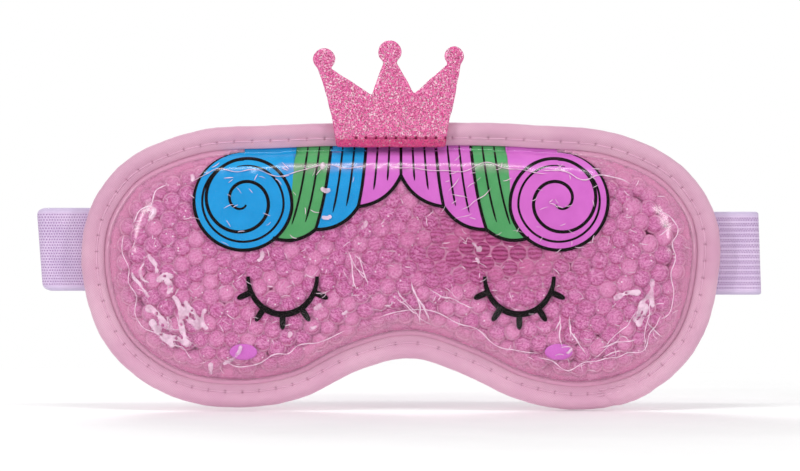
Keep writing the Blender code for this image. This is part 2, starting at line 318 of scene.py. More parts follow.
def inside_loop(loop, spots):
    """Which spots lie inside a closed loop."""
    start, end = loop, np.roll(loop, -1, 0)
    result = np.zeros(len(spots), bool)
    for (x0, z0), (x1, z1) in zip(start, end):
        if z0 == z1:
            continue
        crosses = (spots[:, 1] > z0) != (spots[:, 1] > z1)
        meet = x0 + (spots[:, 1] - z0) * (x1 - x0) / (z1 - z0)
        result ^= crosses & (spots[:, 0] < meet)
    return result


def fill_spots(loop, spacing, rims):
    """Spots inside a loop: rings at some insets, and a grid farther in."""
    dense = resample(closed_up(loop), min(spacing, 0.5))
    base = loop if signed_area(loop) < 0 else loop[::-1]
    low, high = loop.min(0), loop.max(0)
    x, z = np.meshgrid(np.arange(low[0], high[0], spacing), np.arange(low[1], high[1], spacing))
    x[::2] += spacing / 2
    grid = np.stack((x.ravel(), z.ravel()), 1)
    grid = grid[inside_loop(loop, grid)]
    grid = grid[distance_to(dense, grid) > max(rims, default=0) + 0.45 * spacing]
    for rim in rims:
        ring = base + inward_normals(base) * rim
        ring = ring[inside_loop(loop, ring)]
        grid = np.vstack((grid, ring[distance_to(dense, ring) > 0.85 * rim]))
    return grid


def sheet(name, loop, spacing, front, back, finishes, rims=()):
    """A closed sheet inside a loop. front and back give the depths of its two
    faces from the spots and their distances to the edge."""
    spots = np.vstack((loop, fill_spots(loop, spacing, rims)))
    flat, _, triangles = delaunay_2d_cdt([Vector(spot) for spot in spots], [],
                                         [list(range(len(loop)))], 1, 1e-5)[:3]
    flat = np.array([tuple(vert) for vert in flat])
    apart = distance_to(resample(closed_up(loop), 0.3), flat)
    return add_shell(name, in_space(flat, front(flat, apart)), in_space(flat, back(flat, apart)),
                     triangles, finishes)


def strokes(name, lines, profile, depth, finishes):
    """Ribbons along (points, half widths, heights) lines laid on a surface.
    profile is a closed cross-section of (share across, height share, sink)."""
    parts = []
    for points, halves, heights in lines:
        across = sideways(points)
        columns = []
        for share, rise, sink in profile:
            spots = points + across * (halves * share)[:, None]
            columns.append(in_space(spots, depth(spots) - heights * rise + sink))
        parts.append(loft(np.stack(columns, 1)))
    return add_solid(name, *joined(parts), finishes)


def tube(points, radius, closed, sides=7):
    """Vertices and faces of a round thread along a path, as (x, depth, z)."""
    points = np.asarray(points, float)
    if closed:
        along = unit(np.roll(points, -1, 0) - np.roll(points, 1, 0))
    else:
        along = unit(np.gradient(points, axis=0))
    side = unit(np.cross(along, (0.02, -1.0, 0.03)))
    lift = np.cross(side, along)
    rings = []
    for step in range(sides):
        angle = 2 * math.pi * step / sides
        rings.append(points + radius * (math.cos(angle) * side + math.sin(angle) * lift))
    return loft(np.stack(rings, 1), closed)


def add_tubes(name, paths, radius, closed, finish, sides=7):
    """One object of several threads."""
    return add_solid(name, *joined(tube(path, radius, closed, sides) for path in paths),
                     [finish])


def add_layer(item, name, values):
    """A per-vertex number for the item's material to read."""
    layer = item.data.attributes.new(name, "FLOAT", "POINT")
    layer.data.foreach_set("value", np.asarray(values, np.float32))


# --------------------------------------------------------------- materials

# A wave texture of this scale repeats once for each unit of length.
BAND_SCALE = 0.314


def linear(channel):
    """One 0-255 screen colour channel as a linear value."""
    value = channel / 255
    return value / 12.92 if value <= 0.04045 else ((value + 0.055) / 1.055) ** 2.4


def screen(red, green, blue):
    """A screen colour as a linear RGBA colour."""
    return (linear(red), linear(green), linear(blue), 1.0)


def spaced(inputs):
    """Keyword inputs with their names' underscores as spaces."""
    return {key.replace("_", " "): value for key, value in inputs.items()}


class Nodes:
    """A short way to write a material's node tree."""

    def __init__(self, name):
        self.material = bpy.data.materials.new(name)
        self.material.use_nodes = True
        self.tree = self.material.node_tree
        self.tree.nodes.clear()
        self.output = self.tree.nodes.new("ShaderNodeOutputMaterial")

    def add(self, kind, inputs=None, **settings):
        """A node with its settings and inputs; an input may be a socket."""
        node = self.tree.nodes.new("ShaderNode" + kind)
        for key, value in settings.items():
            setattr(node, key, value)
        for key, value in (inputs or {}).items():
            if isinstance(value, bpy.types.NodeSocket):
                self.tree.links.new(value, node.inputs[key])
            else:
                node.inputs[key].default_value = value
        return node

    def noise(self, place, scale, detail=3.0, rough=0.55, twist=0.0):
        """Noise from 0 to 1, its shapes twisted into streaks if twist is given."""
        return self.add("TexNoise", {"Vector": place, "Scale": scale, "Detail": detail,
                                     "Roughness": rough, "Distortion": twist}).outputs["Fac"]

    def place(self):
        """Coordinates in the piece's own frame, in millimetres."""
        where = self.add("TexCoord").outputs["Object"]
        return self.add("Mapping", {"Vector": where, "Scale": (1 / MM,) * 3}).outputs[0]

    def read(self, name, output="Fac"):
        """One of the piece's own per-vertex values."""
        return self.add("Attribute", attribute_name=name).outputs[output]

    def bands(self, place, pitch, axis, **inputs):
        """Soft parallel bands, one for each pitch along an axis."""
        return self.add("TexWave", {"Vector": place, "Scale": BAND_SCALE / pitch, **spaced(inputs)},
                        bands_direction=axis).outputs["Fac"]

    def remap(self, value, low, high, most=1.0, least=0.0):
        """A value's range from low to high, made into one from least to most."""
        return self.add("MapRange", {"Value": value, "From Min": low, "From Max": high,
                                     "To Min": least, "To Max": most}).outputs[0]

    def times(self, first, *others):
        """The product of values."""
        for other in others:
            first = self.maths("MULTIPLY", first, other)
        return first

    def minus(self, first, second):
        """One value less another."""
        return self.maths("SUBTRACT", first, second)

    def hypotenuse(self, first, second):
        """The distance that two sideways distances make."""
        return self.maths("SQRT", self.maths("ADD", self.times(first, first),
                                             self.times(second, second)))

    def outer(self):
        """One on a face's outer side, nought on its inner side."""
        return self.minus(1.0, self.add("NewGeometry").outputs["Backfacing"])

    def blend(self, share, first, second):
        """Two shaders mixed, share being the second one's."""
        return self.add("MixShader", {0: share, 1: first, 2: second}).outputs[0]

    def maths(self, operation, first, second=0.0, third=0.0):
        """One arithmetic step."""
        return self.add("Math", {0: first, 1: second, 2: third},
                        operation=operation).outputs[0]

    def ramp(self, value, *stops):
        """A ramp through stops, each one a position and then either a screen
        colour's three channels or a single level from 0 to 1."""
        node = self.add("ValToRGB", {"Fac": value})
        elements = node.color_ramp.elements
        while len(elements) < len(stops):
            elements.new(0.5)
        for element, (position, *tone) in zip(elements, stops):
            element.position = position
            element.color = screen(*tone) if len(tone) == 3 else (tone[0], tone[0], tone[0], 1)
        return node.outputs["Color"]

    def mix(self, fac, first, second, mode="MIX"):
        """Two colours mixed."""
        return self.add("Mix", {0: fac, 6: first, 7: second}, data_type="RGBA",
                        blend_type=mode).outputs[2]

    def bump(self, height, distance, strength=1.0, normal=None):
        """A bump normal; distance is in millimetres."""
        inputs = {"Height": height, "Distance": distance * MM, "Strength": strength}
        if normal is not None:
            inputs["Normal"] = normal
        return self.add("Bump", inputs).outputs["Normal"]

    def principled(self, **inputs):
        """A Principled shader; keyword names use _ for a space."""
        return self.add("BsdfPrincipled", spaced(inputs)).outputs[0]

    def finish(self, shader):
        """Link the surface and give back the material."""
        self.tree.links.new(shader, self.output.inputs["Surface"])
        return self.material

    def plain(self, **inputs):
        """A finished material of one Principled shader."""
        return self.finish(self.principled(**inputs))


def cloth_weave(nodes, place, pitch, turn):
    """Height of a plain weave: two crossed sets of threads."""
    heights = []
    for angle in (turn, turn + math.pi / 2):
        turned = nodes.add("VectorRotate", {"Vector": place, "Axis": (0, 1, 0),
                                            "Angle": angle}).outputs[0]
        heights.append(nodes.bands(turned, pitch, "X", Distortion=0.6, Detail=1.0,
                                   Detail_Scale=2.0))
    return nodes.times(*heights)


def tape_material():
    """Matte pink binding tape with a fine bias weave."""
    nodes = Nodes("binding_tape_cloth")
    place = nodes.place()
    weave = cloth_weave(nodes, place, 0.55, math.radians(38))
    colour = nodes.ramp(nodes.noise(place, 0.05, 4.0), (0.3, 205, 157, 182),
                        (0.72, 220, 180, 198))
    colour = nodes.mix(nodes.times(weave, 0.8), colour, screen(200, 132, 168))
    # Stitch holes darkened: partly the holes' own dark, partly painted shade in the pits.
    colour = nodes.mix(nodes.times(nodes.read("hole"), 0.9), colour, screen(110, 36, 70))
    bump = nodes.bump(nodes.noise(place, 0.25), 0.35, 0.5, nodes.bump(weave, 0.07, 0.7))
    return nodes.plain(Base_Color=colour, Roughness=0.82, Sheen_Weight=0.25,
                       Specular_IOR_Level=0.25, Normal=bump)


def thread_material(name, colour):
    """Twisted sewing thread."""
    nodes = Nodes(name)
    twist = nodes.noise(nodes.place(), 6.0, 1.0)
    red, green, blue = colour
    tone = nodes.ramp(twist, (0.3, red - 26, green - 30, blue - 26), (0.7, *colour))
    return nodes.plain(Base_Color=tone, Roughness=0.6, Normal=nodes.bump(twist, 0.06))


def cloth_material(name, dark, light, coat=0.0):
    """Backing cloth with fine level ribs, painted darker in their grooves as shade, bare or seen
    through clear film.
    """
    nodes = Nodes(name)
    place = nodes.place()
    rib = nodes.bands(place, 0.5, "Z", Distortion=0.5, Detail=1.0, Detail_Scale=0.6)
    # Painted shade: the ramp makes the rib grooves darker than the rib tops.
    colour = nodes.ramp(rib, (0.15, *dark), (0.85, *light))
    colour = nodes.mix(nodes.times(nodes.noise(place, 0.04, 4.0), 0.35), colour,
                       screen(*light))
    return nodes.plain(Base_Color=colour, Roughness=0.8, Sheen_Weight=0.3,
                       Specular_IOR_Level=0.2, Coat_Weight=coat, Coat_Roughness=0.1,
                       Normal=nodes.bump(rib, 0.06, 0.6))


def film_material():
    """Clear glossy vinyl: see-through, faintly milky, mirror-like at a slant."""
    nodes = Nodes("clear_film")
    bump = nodes.bump(nodes.noise(nodes.place(), 0.35, 2.0), 0.05, 0.6)
    clear = nodes.add("BsdfTransparent", {"Color": (0.99, 0.965, 0.98, 1)}).outputs[0]
    milky = nodes.add("BsdfDiffuse", {"Color": screen(250, 188, 220)}).outputs[0]
    haze = nodes.maths("MULTIPLY_ADD", nodes.read("weld"), 0.5, 0.003)
    shine = nodes.add("BsdfGlossy", {"Color": (1, 1, 1, 1), "Roughness": 0.17,
                                     "Normal": bump}).outputs[0]
    slant = nodes.add("Fresnel", {"IOR": 1.5, "Normal": bump}).outputs[0]
    slant = nodes.maths("MINIMUM", nodes.times(slant, 0.85), 0.14)
    return nodes.finish(nodes.blend(nodes.times(slant, nodes.outer()),
                                    nodes.blend(haze, clear, milky), shine))


def bead_disc(nodes, place, warp, calm, wild):
    """A bead's middle, painted as the cloth's ribs seen bent and shrunk through its lens: its
    colour, the distance from its centre and the height above it."""
    maths = nodes.maths
    seed = nodes.read("tint")
    angle = nodes.times(nodes.minus(seed, 0.5), 1.6, wild)
    turned = nodes.add("VectorRotate", {"Vector": nodes.read("local", "Vector"),
                                        "Axis": (0, 1, 0), "Angle": angle}).outputs[0]
    axes = nodes.add("SeparateXYZ", {"Vector": turned})
    up = axes.outputs["Z"]
    radius = nodes.hypotenuse(axes.outputs["X"], up)
    wobble = nodes.times(nodes.minus(warp, 0.5), maths("MULTIPLY_ADD", wild, 2.6, 0.2))
    bent = maths("MULTIPLY_ADD", nodes.times(radius, radius), 0.8, 1.0)
    stripe = maths("SINE", nodes.times(maths("MULTIPLY_ADD", up, bent, wobble), 13.0))
    stripe = maths("MULTIPLY_ADD", stripe, 0.5, 0.5)
    calm_disc = nodes.ramp(stripe, (0.15, 132, 16, 84), (0.4, 168, 54, 118),
                           (0.8, 186, 82, 142))
    wild_disc = nodes.ramp(stripe, (0.1, 186, 74, 140), (0.35, 202, 96, 164),
                           (0.9, 220, 128, 188))
    disc = nodes.mix(calm, wild_disc, calm_disc)
    tone = nodes.ramp(seed, (0.0, 0.0), (0.55, 0.1), (1.0, 0.7))
    disc = nodes.mix(tone, disc, nodes.mix(calm, screen(238, 158, 202), screen(206, 96, 154)))
    sideways_off = maths("ABSOLUTE", nodes.add("SeparateXYZ", {"Vector": place}).outputs["X"])
    disc = nodes.mix(nodes.remap(sideways_off, 30.0, 70.0, 0.14), disc, screen(240, 170, 212))
    return disc, radius, up


def bead_flaws(nodes, place, colour, crumb, wild):
    """A bead's colour under pale and dark crumbs, looping painted highlight streaks and painted
    glints.
    """
    for stops, most, least, tint in (
            (((0.52, 0), (0.60, 1)), 0.42, 0.05, (246, 190, 228)),
            (((0.35, 1), (0.42, 0)), 0.42, 0.02, (180, 52, 126))):
        share = nodes.times(nodes.ramp(crumb, *stops),
                            nodes.maths("MULTIPLY_ADD", wild, most, least))
        colour = nodes.mix(share, colour, screen(*tint))
    # Painted highlight: thin pale looping streaks on the wild beads.
    loops = nodes.noise(place, 0.42, 1.0, 0.5, 3.5)
    painted_streak = nodes.ramp(loops, (0.47, 0), (0.495, 1), (0.505, 1), (0.53, 0))
    colour = nodes.mix(nodes.times(painted_streak, wild, 0.4), colour, screen(255, 210, 236))
    # Painted glints: small white spots in about a third of the cells.
    cells = nodes.add("TexVoronoi", {"Vector": place, "Scale": 0.55, "Randomness": 1.0})
    picked = nodes.add("SeparateColor", {"Color": cells.outputs["Color"]}).outputs[0]
    painted_glint = nodes.ramp(cells.outputs["Distance"], (0.10, 1), (0.18, 0))
    painted_glint = nodes.times(painted_glint, nodes.maths("GREATER_THAN", picked, 0.66), wild)
    return nodes.mix(painted_glint, colour, (1, 0.97, 0.99, 1))


def bead_material(name, haze):
    """Gel beads, each one painted as a small round lens: a painted highlight ring, a broken painted
    shade arc on its lower side and a few painted glints. haze is how far the ones in front veil it."""
    nodes = Nodes(name)
    place = nodes.place()
    calm = nodes.read("calm")
    wild = nodes.minus(1.0, calm)
    warp = nodes.noise(place, 0.32, 2.5, 0.6, 0.8)
    disc, radius, up = bead_disc(nodes, place, warp, calm, wild)
    # Painted highlight: a pale ring near each bead's rim, broken into patches on wild beads.
    ring = nodes.ramp(radius, (0.70, 206, 96, 154), (0.77, 228, 142, 188),
                      (0.84, 252, 194, 226), (0.93, 246, 138, 196))
    patchy = nodes.ramp(warp, (0.42, 0), (0.56, 1))
    ring_highlight_share = nodes.mix(1.0, nodes.ramp(radius, (0.68, 0), (0.73, 1)),
                        nodes.mix(calm, patchy, (1, 1, 1, 1)), "MULTIPLY")
    colour = nodes.mix(ring_highlight_share, disc, ring)
    # Painted shade: a broken dark arc on the lower side of each wild bead.
    low = nodes.ramp(nodes.maths("MULTIPLY_ADD", up, 0.5, 0.5), (0.1, 1), (0.36, 0))
    band = nodes.ramp(radius, (0.56, 0), (0.66, 1), (0.72, 1), (0.80, 0))
    colour = nodes.mix(nodes.times(band, low, wild, 0.75), colour, screen(186, 50, 118))
    crumb = nodes.noise(place, 0.62, 3.0, 0.62, 2.2)
    colour = bead_flaws(nodes, place, colour, crumb, wild)
    colour = nodes.mix(haze, colour, screen(226, 128, 180))
    level = nodes.add("VectorMath", {0: nodes.add("NewGeometry").outputs["Normal"],
                                     1: (0, -5.0, 0)}, operation="ADD").outputs[0]
    level = nodes.add("VectorMath", {0: level}, operation="NORMALIZE").outputs[0]
    body = nodes.add("BsdfDiffuse", {"Color": colour, "Normal": level}).outputs[0]
    if haze > 0:
        return nodes.finish(body)
    glint = nodes.add("BsdfGlossy", {"Color": (1, 1, 1, 1), "Roughness": 0.12,
                                     "Normal": nodes.bump(crumb, 1.6)}).outputs[0]
    gel = nodes.add("BsdfTransparent", {"Color": screen(255, 232, 244)}).outputs[0]
    return nodes.finish(nodes.blend(0.94, gel, nodes.blend(0.06, body, glint)))


def ink_material(name, colour):
    """Opaque printing ink, very slightly mottled."""
    nodes = Nodes(name)
    tone = nodes.ramp(nodes.noise(nodes.place(), 0.2, 3.0),
                      (0.3, *(max(channel - 9, 0) for channel in colour)), (0.7, *colour))
    return nodes.plain(Base_Color=tone, Roughness=0.5, Specular_IOR_Level=0.0)


# ------------------------------------------------------------ bead packing

def dome_bulge(inset):
    """How far the film stands out over the beads at an inset."""
    t = np.clip((inset - WELD_INSET) / (FULL_INSET - WELD_INSET), 0, 1)
    return FILM_BULGE * (1 - (1 - t) ** 2) ** 0.6


def panel_depth(inset):
    """Depth of the back film's front face at an inset."""
    return np.interp(inset, PANEL_INSETS, PANEL_FRONT_DEPTHS)


def pack_beads():
    """Centres, radii and depth shares of beads that fill the film's room."""
    random = np.random.default_rng(RANDOM_SEED)
    low, high = box_mm("bead_fill")
    spots = random.uniform(low[[0, 2]] - 2, high[[0, 2]] + 2, (BEAD_TRIES, 2))
    spots = spots[RIM.inset(spots) > WELD_INSET + BEAD_RADIUS * 0.6][:BEAD_COUNT]
    radii = BEAD_RADIUS + random.uniform(-1, 1, len(spots)) * BEAD_RADIUS_SPREAD
    in_front = np.arange(len(spots)) % 2 == 0
    centres = in_space(spots, 0.0)
    for _ in range(BEAD_ROUNDS):
        inset = RIM.inset(centres[:, [0, 2]])
        front = front_limit(inset)
        back = panel_depth(inset) - 0.15
        half = np.minimum(radii, (back - front) / 2)
        centres[:, 1] = np.where(in_front, front + half, back - half)
        apart = centres[:, None] - centres[None]
        gap = np.sqrt((apart ** 2).sum(2)) + np.eye(len(centres)) * 99
        overlap = np.clip((radii[:, None] + radii[None]) * BEAD_NESTING - gap, 0, None)
        push = (apart / gap[..., None] * overlap[..., None]).sum(1)
        push[:, 1] = 0
        centres += push * BEAD_STEP
        escape = WELD_INSET + radii * BEAD_ROOM - RIM.inset(centres[:, [0, 2]])
        escape = np.clip(escape, 0, None)
        centres[:, [0, 2]] += inward_at(centres[:, [0, 2]]) * escape[:, None]
    return centres, radii, half / radii


def front_limit(inset):
    """The nearest depth a bead may reach at an inset without leaving the film."""
    return FLANGE_DEPTH - dome_bulge(inset - 0.9) + FILM_THICKNESS + 0.12


def inward_at(spots):
    """The outline's inward normal nearest to each spot."""
    return RIM.normals[nearest(RIM.points, spots)[0]]


def make_beads(centres, radii, shares):
    """The gel beads, as two meshes: the layer under the film and the rest."""
    random = np.random.default_rng(RANDOM_SEED + 1)
    in_front = np.arange(len(centres)) % 2 == 0
    for name, chosen, rings, haze in (("gel_beads_front", in_front, 14, 0.0),
                                      ("gel_beads_back", ~in_front, 10, BACK_BEAD_HAZE)):
        ball = bmesh.new()
        bmesh.ops.create_uvsphere(ball, u_segments=rings * 3 // 2, v_segments=rings, radius=1)
        shape = np.array([vert.co for vert in ball.verts])
        faces = [[vert.index for vert in face.verts] for face in ball.faces]
        ball.free()
        balls, tints, calms, locals_ = [], [], [], []
        for centre, radius, share in zip(centres[chosen], radii[chosen], shares[chosen]):
            turned = shape @ random_turn(random)
            locals_.append(turned)
            shaped = centre + turned * radius * (BEAD_SPREAD, share, BEAD_SPREAD)
            balls.append((held_in(shaped), faces))
            tints.append(random.uniform())
            calms.append(calmness(centre))
        item = add_mesh(name, *joined(balls), [bead_material(name + "_gel", haze)])
        add_layer(item, "tint", np.repeat(tints, len(shape)))
        add_layer(item, "calm", np.repeat(calms, len(shape)))
        layer = item.data.attributes.new("local", "FLOAT_VECTOR", "POINT")
        layer.data.foreach_set("vector", np.concatenate(locals_).ravel().astype(np.float32))
        attach(item, "pad", "gel_beads", *([] if haze else ["bead_fill"]))


def held_in(spots):
    """Bead points near the rim, pressed back into the room under the film."""
    inset = RIM.inset(spots[:, [0, 2]])
    if inset.min() > RIM_ROOM_INSET:
        return spots
    short = np.clip(WELD_INSET + 0.3 - inset, 0, None)
    spots = spots.copy()
    spots[:, [0, 2]] += inward_at(spots[:, [0, 2]]) * short[:, None]
    inset = inset + short
    front = FLANGE_DEPTH - dome_bulge(inset) + FILM_THICKNESS + RIM_SLACK
    back = panel_depth(inset) - 0.12
    spots[:, 1] = np.clip(spots[:, 1], np.minimum(front, back - 0.05), back)
    return spots


def calmness(centre):
    """1 where beads lie flat on the film like cells, less where it wrinkles."""
    near = ((centre[0] - 28) / 26) ** 2 + ((centre[2] - 6) / 13) ** 2
    edge = RIM.inset(centre[None, [0, 2]])[0]
    return max(math.exp(-near), 0.3 if edge < WELD_INSET + 4.5 else 0.12)


def random_turn(random):
    """A random rotation matrix."""
    matrix, _ = np.linalg.qr(random.normal(size=(3, 3)))
    return matrix * np.sign(np.linalg.det(matrix))


# ------------------------------------------------------------- front film

class FilmSurface:
    """Depth of the film's outer face, kept on a grid and read in between."""

    def __init__(self, centres, radii):
        low, high = RIM.low - 1, RIM.high + 1
        self.low = low
        self.columns = int((high[0] - low[0]) / FILM_SPACING) + 1
        self.rows = int((high[1] - low[1]) / FILM_SPACING) + 1
        x = low[0] + np.arange(self.columns) * FILM_SPACING
        z = low[1] + np.arange(self.rows) * FILM_SPACING
        self.x, self.z = np.meshgrid(x, z)
        spots = np.stack((self.x.ravel(), self.z.ravel()), 1)
        self.insets = RIM.inset(spots).reshape(self.x.shape)
        self.depth = FLANGE_DEPTH - dome_bulge(self.insets)
        self.press_beads(centres, radii)
        self.emboss_weld()

    def window(self, spot, reach):
        """The slices of the grid within reach of a spot."""
        column, row = ((np.asarray(spot) - self.low) / FILM_SPACING).astype(int)
        span = int(reach / FILM_SPACING) + 1
        return (slice(max(row - span, 0), row + span + 2),
                slice(max(column - span, 0), column + span + 2))

    def press_beads(self, centres, radii):
        """Let the beads that touch the film push it out a little."""
        push = np.zeros_like(self.depth)
        for centre, radius in zip(centres, radii):
            spot = centre[[0, 2]]
            part = self.window(spot, 3 * BEAD_PUSH_WIDTH)
            square = (self.x[part] - spot[0]) ** 2 + (self.z[part] - spot[1]) ** 2
            gap = centre[1] - radius - self.depth[part]
            reach = BEAD_PUSH * np.exp(-np.clip(gap, 0, None) / 0.8)
            bump = reach * np.exp(-square / BEAD_PUSH_WIDTH ** 2)
            push[part] = np.maximum(push[part], bump)
        self.depth -= push * np.clip((self.insets - WELD_INSET) / 3, 0, 1)

    def emboss_weld(self):
        """Two fine ridges pressed into the flange by the welding tool."""
        for inset, height, width in ((7.6, 0.05, 0.35), (8.9, 0.09, 0.45)):
            ridge = np.exp(-((self.insets - inset) / width) ** 2)
            self.depth -= height * ridge * ~inked_zone(self.x, self.z)

    def under(self, spots):
        """Depth of the print's datum: the film's face, level under the tape."""
        return np.minimum(self.at(spots), FLANGE_DEPTH)

    def at(self, spots):
        """Depth of the film's outer face at (x, z) spots."""
        place = (np.asarray(spots) - self.low) / FILM_SPACING
        column = np.clip(place[:, 0].astype(int), 0, self.columns - 2)
        row = np.clip(place[:, 1].astype(int), 0, self.rows - 2)
        u, v = place[:, 0] - column, place[:, 1] - row
        grid = self.depth
        lower = grid[row, column] * (1 - u) + grid[row, column + 1] * u
        upper = grid[row + 1, column] * (1 - u) + grid[row + 1, column + 1] * u
        return lower * (1 - v) + upper * v


def whole_quads(inside):
    """Corner numbers of a grid's squares whose four corners are all inside."""
    whole = inside[:-1, :-1] & inside[1:, :-1] & inside[:-1, 1:] & inside[1:, 1:]
    rows, columns = np.nonzero(whole)
    wide = inside.shape[1]
    corner = rows * wide + columns
    return np.stack((corner, corner + 1, corner + wide + 1, corner + wide), 1)


def make_front_film(film):
    """The clear front film, a thin closed shell."""
    inside = film.insets > FILM_EDGE_INSET
    numbers = np.cumsum(inside) - 1
    verts = np.stack((film.x[inside], film.depth[inside], film.z[inside]), 1)
    item = add_mesh("front_film_clear", verts, numbers[whole_quads(inside)].tolist(),
                    [film_material()])
    frosted = np.clip((WELD_INSET + 0.7 - film.insets[inside]) / 1.2, 0, 1)
    veil = VEIL_SHARE * np.clip((VEIL_INSET - film.insets[inside]) / VEIL_WIDTH, 0, 1)
    frosted = np.maximum(frosted, veil)
    add_layer(item, "weld", frosted * ~inked_zone(film.x[inside], film.z[inside]))
    solid = item.modifiers.new("thickness", "SOLIDIFY")
    solid.thickness = FILM_THICKNESS * MM
    solid.offset = -1.0
    solid.use_even_offset = False
    attach(item, "pad", "clear_film", "front_film")


# ----------------------------------------------------------- film creases

CREASE_SECTION = ((-1, -0.25, 0), (-0.55, 0.62, 0), (0, 1, 0), (0.55, 0.62, 0),
                  (1, -0.25, 0), (0, -0.6, 0))
WALK_STEP = 0.35
RING_INSET = 14.0
RING_RUN = (26.0, 74.0)
SMALL_NICKS = 240
SMALL_WEBS = 14
WEB_SPACING = 0.28
WEB_REACH = 3.2

# Where the film folds: (x, z), spread, how many, and their heading in degrees.
FOLD_PATCHES = (((2, -6), 5, 7, -60), ((14, 17), 7, 4, 15), ((-14, 5), 4, 4, -60),
                ((49, -14), 4, 4, -85), ((75, -12), 4, 3, -70), ((60, -25), 6, 3, 20))
# Where it stands off the beads in webs: (x, z), spread and how many strands.
WEB_PATCHES = (((-66, -21), 6.5, 13), ((-76, -5), 4.0, 5), ((75, -9), 4.0, 4))


def wander(along, random, size, pitch):
    """A smooth random sway: three waves with random phases."""
    phases = random.uniform(0, 2 * math.pi, 3)
    waves = [np.sin(along * 2 * math.pi * (step + 1) / pitch + phase) / (step + 1)
             for step, phase in enumerate(phases)]
    return size * np.sum(waves, 0) / 1.8


def crease(spots, half, random):
    """One raised crease along spots, thinning out at both ends."""
    along = np.arange(len(spots)) * WALK_STEP
    taper = np.clip(np.minimum(along, along[-1] - along) / 2.0, 0.12, 1)
    grain = 1 + wander(along, random, 0.35, 7.0)
    return spots, half * taper * grain, 0.16 * taper + 0.03


def walk(start, heading, length, curl, random):
    """A path that leaves start at a heading and sways as it goes."""
    along = np.arange(0, length, WALK_STEP)
    turn = heading + curl * along / length + wander(along, random, 0.35, 9.0)
    return start + np.cumsum(ellipse((0, 0), (1, 1), turn), 0) * WALK_STEP


def crease_lines():
    """Long creases inside the weld, folds in patches and scattered nicks."""
    random = np.random.default_rng(RANDOM_SEED + 5)
    lines = []
    place = 0.0
    while place < RIM.length - RING_RUN[0]:
        along = np.arange(0, random.uniform(*RING_RUN), WALK_STEP)
        inset = RING_INSET + wander(along, random, 2.0, 34.0)
        lines.append(crease(RIM.at(place + along, inset), random.uniform(0.12, 0.2), random))
        place += along[-1] + random.uniform(-3, 12)
    for centre, spread, count, degrees in FOLD_PATCHES:
        for _ in range(count):
            begin = np.array(centre) + random.normal(0, spread / 2, 2)
            path = walk(begin, math.radians(degrees) + random.normal(0, 0.3),
                        random.uniform(5, 16), random.normal(0, 0.5), random)
            path = path[RIM.inset(path) > 10]
            if len(path) > 8:
                lines.append(crease(path, random.uniform(0.12, 0.22), random))
    wanted = len(lines) + SMALL_NICKS
    while len(lines) < wanted:
        begin = random.uniform(RIM.low, RIM.high)
        if RIM.inset(begin[None])[0] < 11:
            continue
        path = walk(begin, random.normal(0, 0.7), random.uniform(1.5, 3.4),
                    random.uniform(-0.9, 0.9), random)
        taper = np.sin(np.linspace(0.15, 0.85, len(path)) * math.pi)
        lines.append((path, random.uniform(0.07, 0.15) * taper, 0.06 * taper + 0.02))
    return lines


def web_strands():
    """Webs as runs of discs (x, z, radius), and the holes through them."""
    random = np.random.default_rng(RANDOM_SEED + 6)
    strands, holes = [], []
    for centre, spread, count in WEB_PATCHES:
        for _ in range(count):
            begin = np.array(centre) + random.normal(0, spread, 2)
            inward = inward_at(begin[None])[0]
            heading = math.atan2(inward[1], inward[0]) + math.pi / 2 + random.normal(0, 0.55)
            path = walk(begin, heading, random.uniform(4, 10), random.normal(0, 0.9), random)
            half = np.clip(random.lognormal(-0.2, 0.35), 0.4, 1.5)
            width = half * (1 + wander(np.arange(len(path)) * WALK_STEP, random, 0.45, 6.0))
            keep = RIM.inset(path) > 10
            if keep.sum() > 4:
                strands.append(np.column_stack((path, width))[keep])
                if half > 0.7:
                    middle = path[keep][keep.sum() // 2]
                    holes.append((*middle, 0.5 * half))
    while len(strands) < sum(patch[2] for patch in WEB_PATCHES) + SMALL_WEBS:
        begin = random.uniform(RIM.low, RIM.high)
        if RIM.inset(begin[None])[0] > 12:
            path = walk(begin, random.normal(0, 0.6), random.uniform(1, 3), 1.6, random)
            width = np.full(len(path), random.uniform(0.3, 0.8))
            strands.append(np.column_stack((path, width)))
    return strands, holes


def film_creases(film):
    """Fine creases, and the wider webs, pressed up in the film."""
    item = strokes("front_film_creases", crease_lines(), CREASE_SECTION, film.at,
                   [crease_highlight_material("creased_film_painted_highlight", 0.62, 1.0)])
    attach(item, "pad", "clear_film")
    attach(web_sheet(film), "pad", "clear_film")


def web_field(spots, strands, holes):
    """Signed distance to the webs, negative inside, with their holes cut."""
    field = np.full(len(spots), 9.0)
    for strand in strands:
        low, high = strand[:, :2].min(0) - WEB_REACH, strand[:, :2].max(0) + WEB_REACH
        near = ((spots > low) & (spots < high)).all(1)
        part = field[near]
        for x, z, radius in strand:
            apart = np.hypot(spots[near, 0] - x, spots[near, 1] - z) - radius
            join = np.clip(0.5 + 0.5 * (part - apart) / 0.5, 0, 1)
            part = part * (1 - join) + apart * join - 0.25 * join * (1 - join)
        field[near] = part
    for x, z, radius in holes:
        field = np.maximum(field, radius - np.hypot(spots[:, 0] - x, spots[:, 1] - z))
    return field


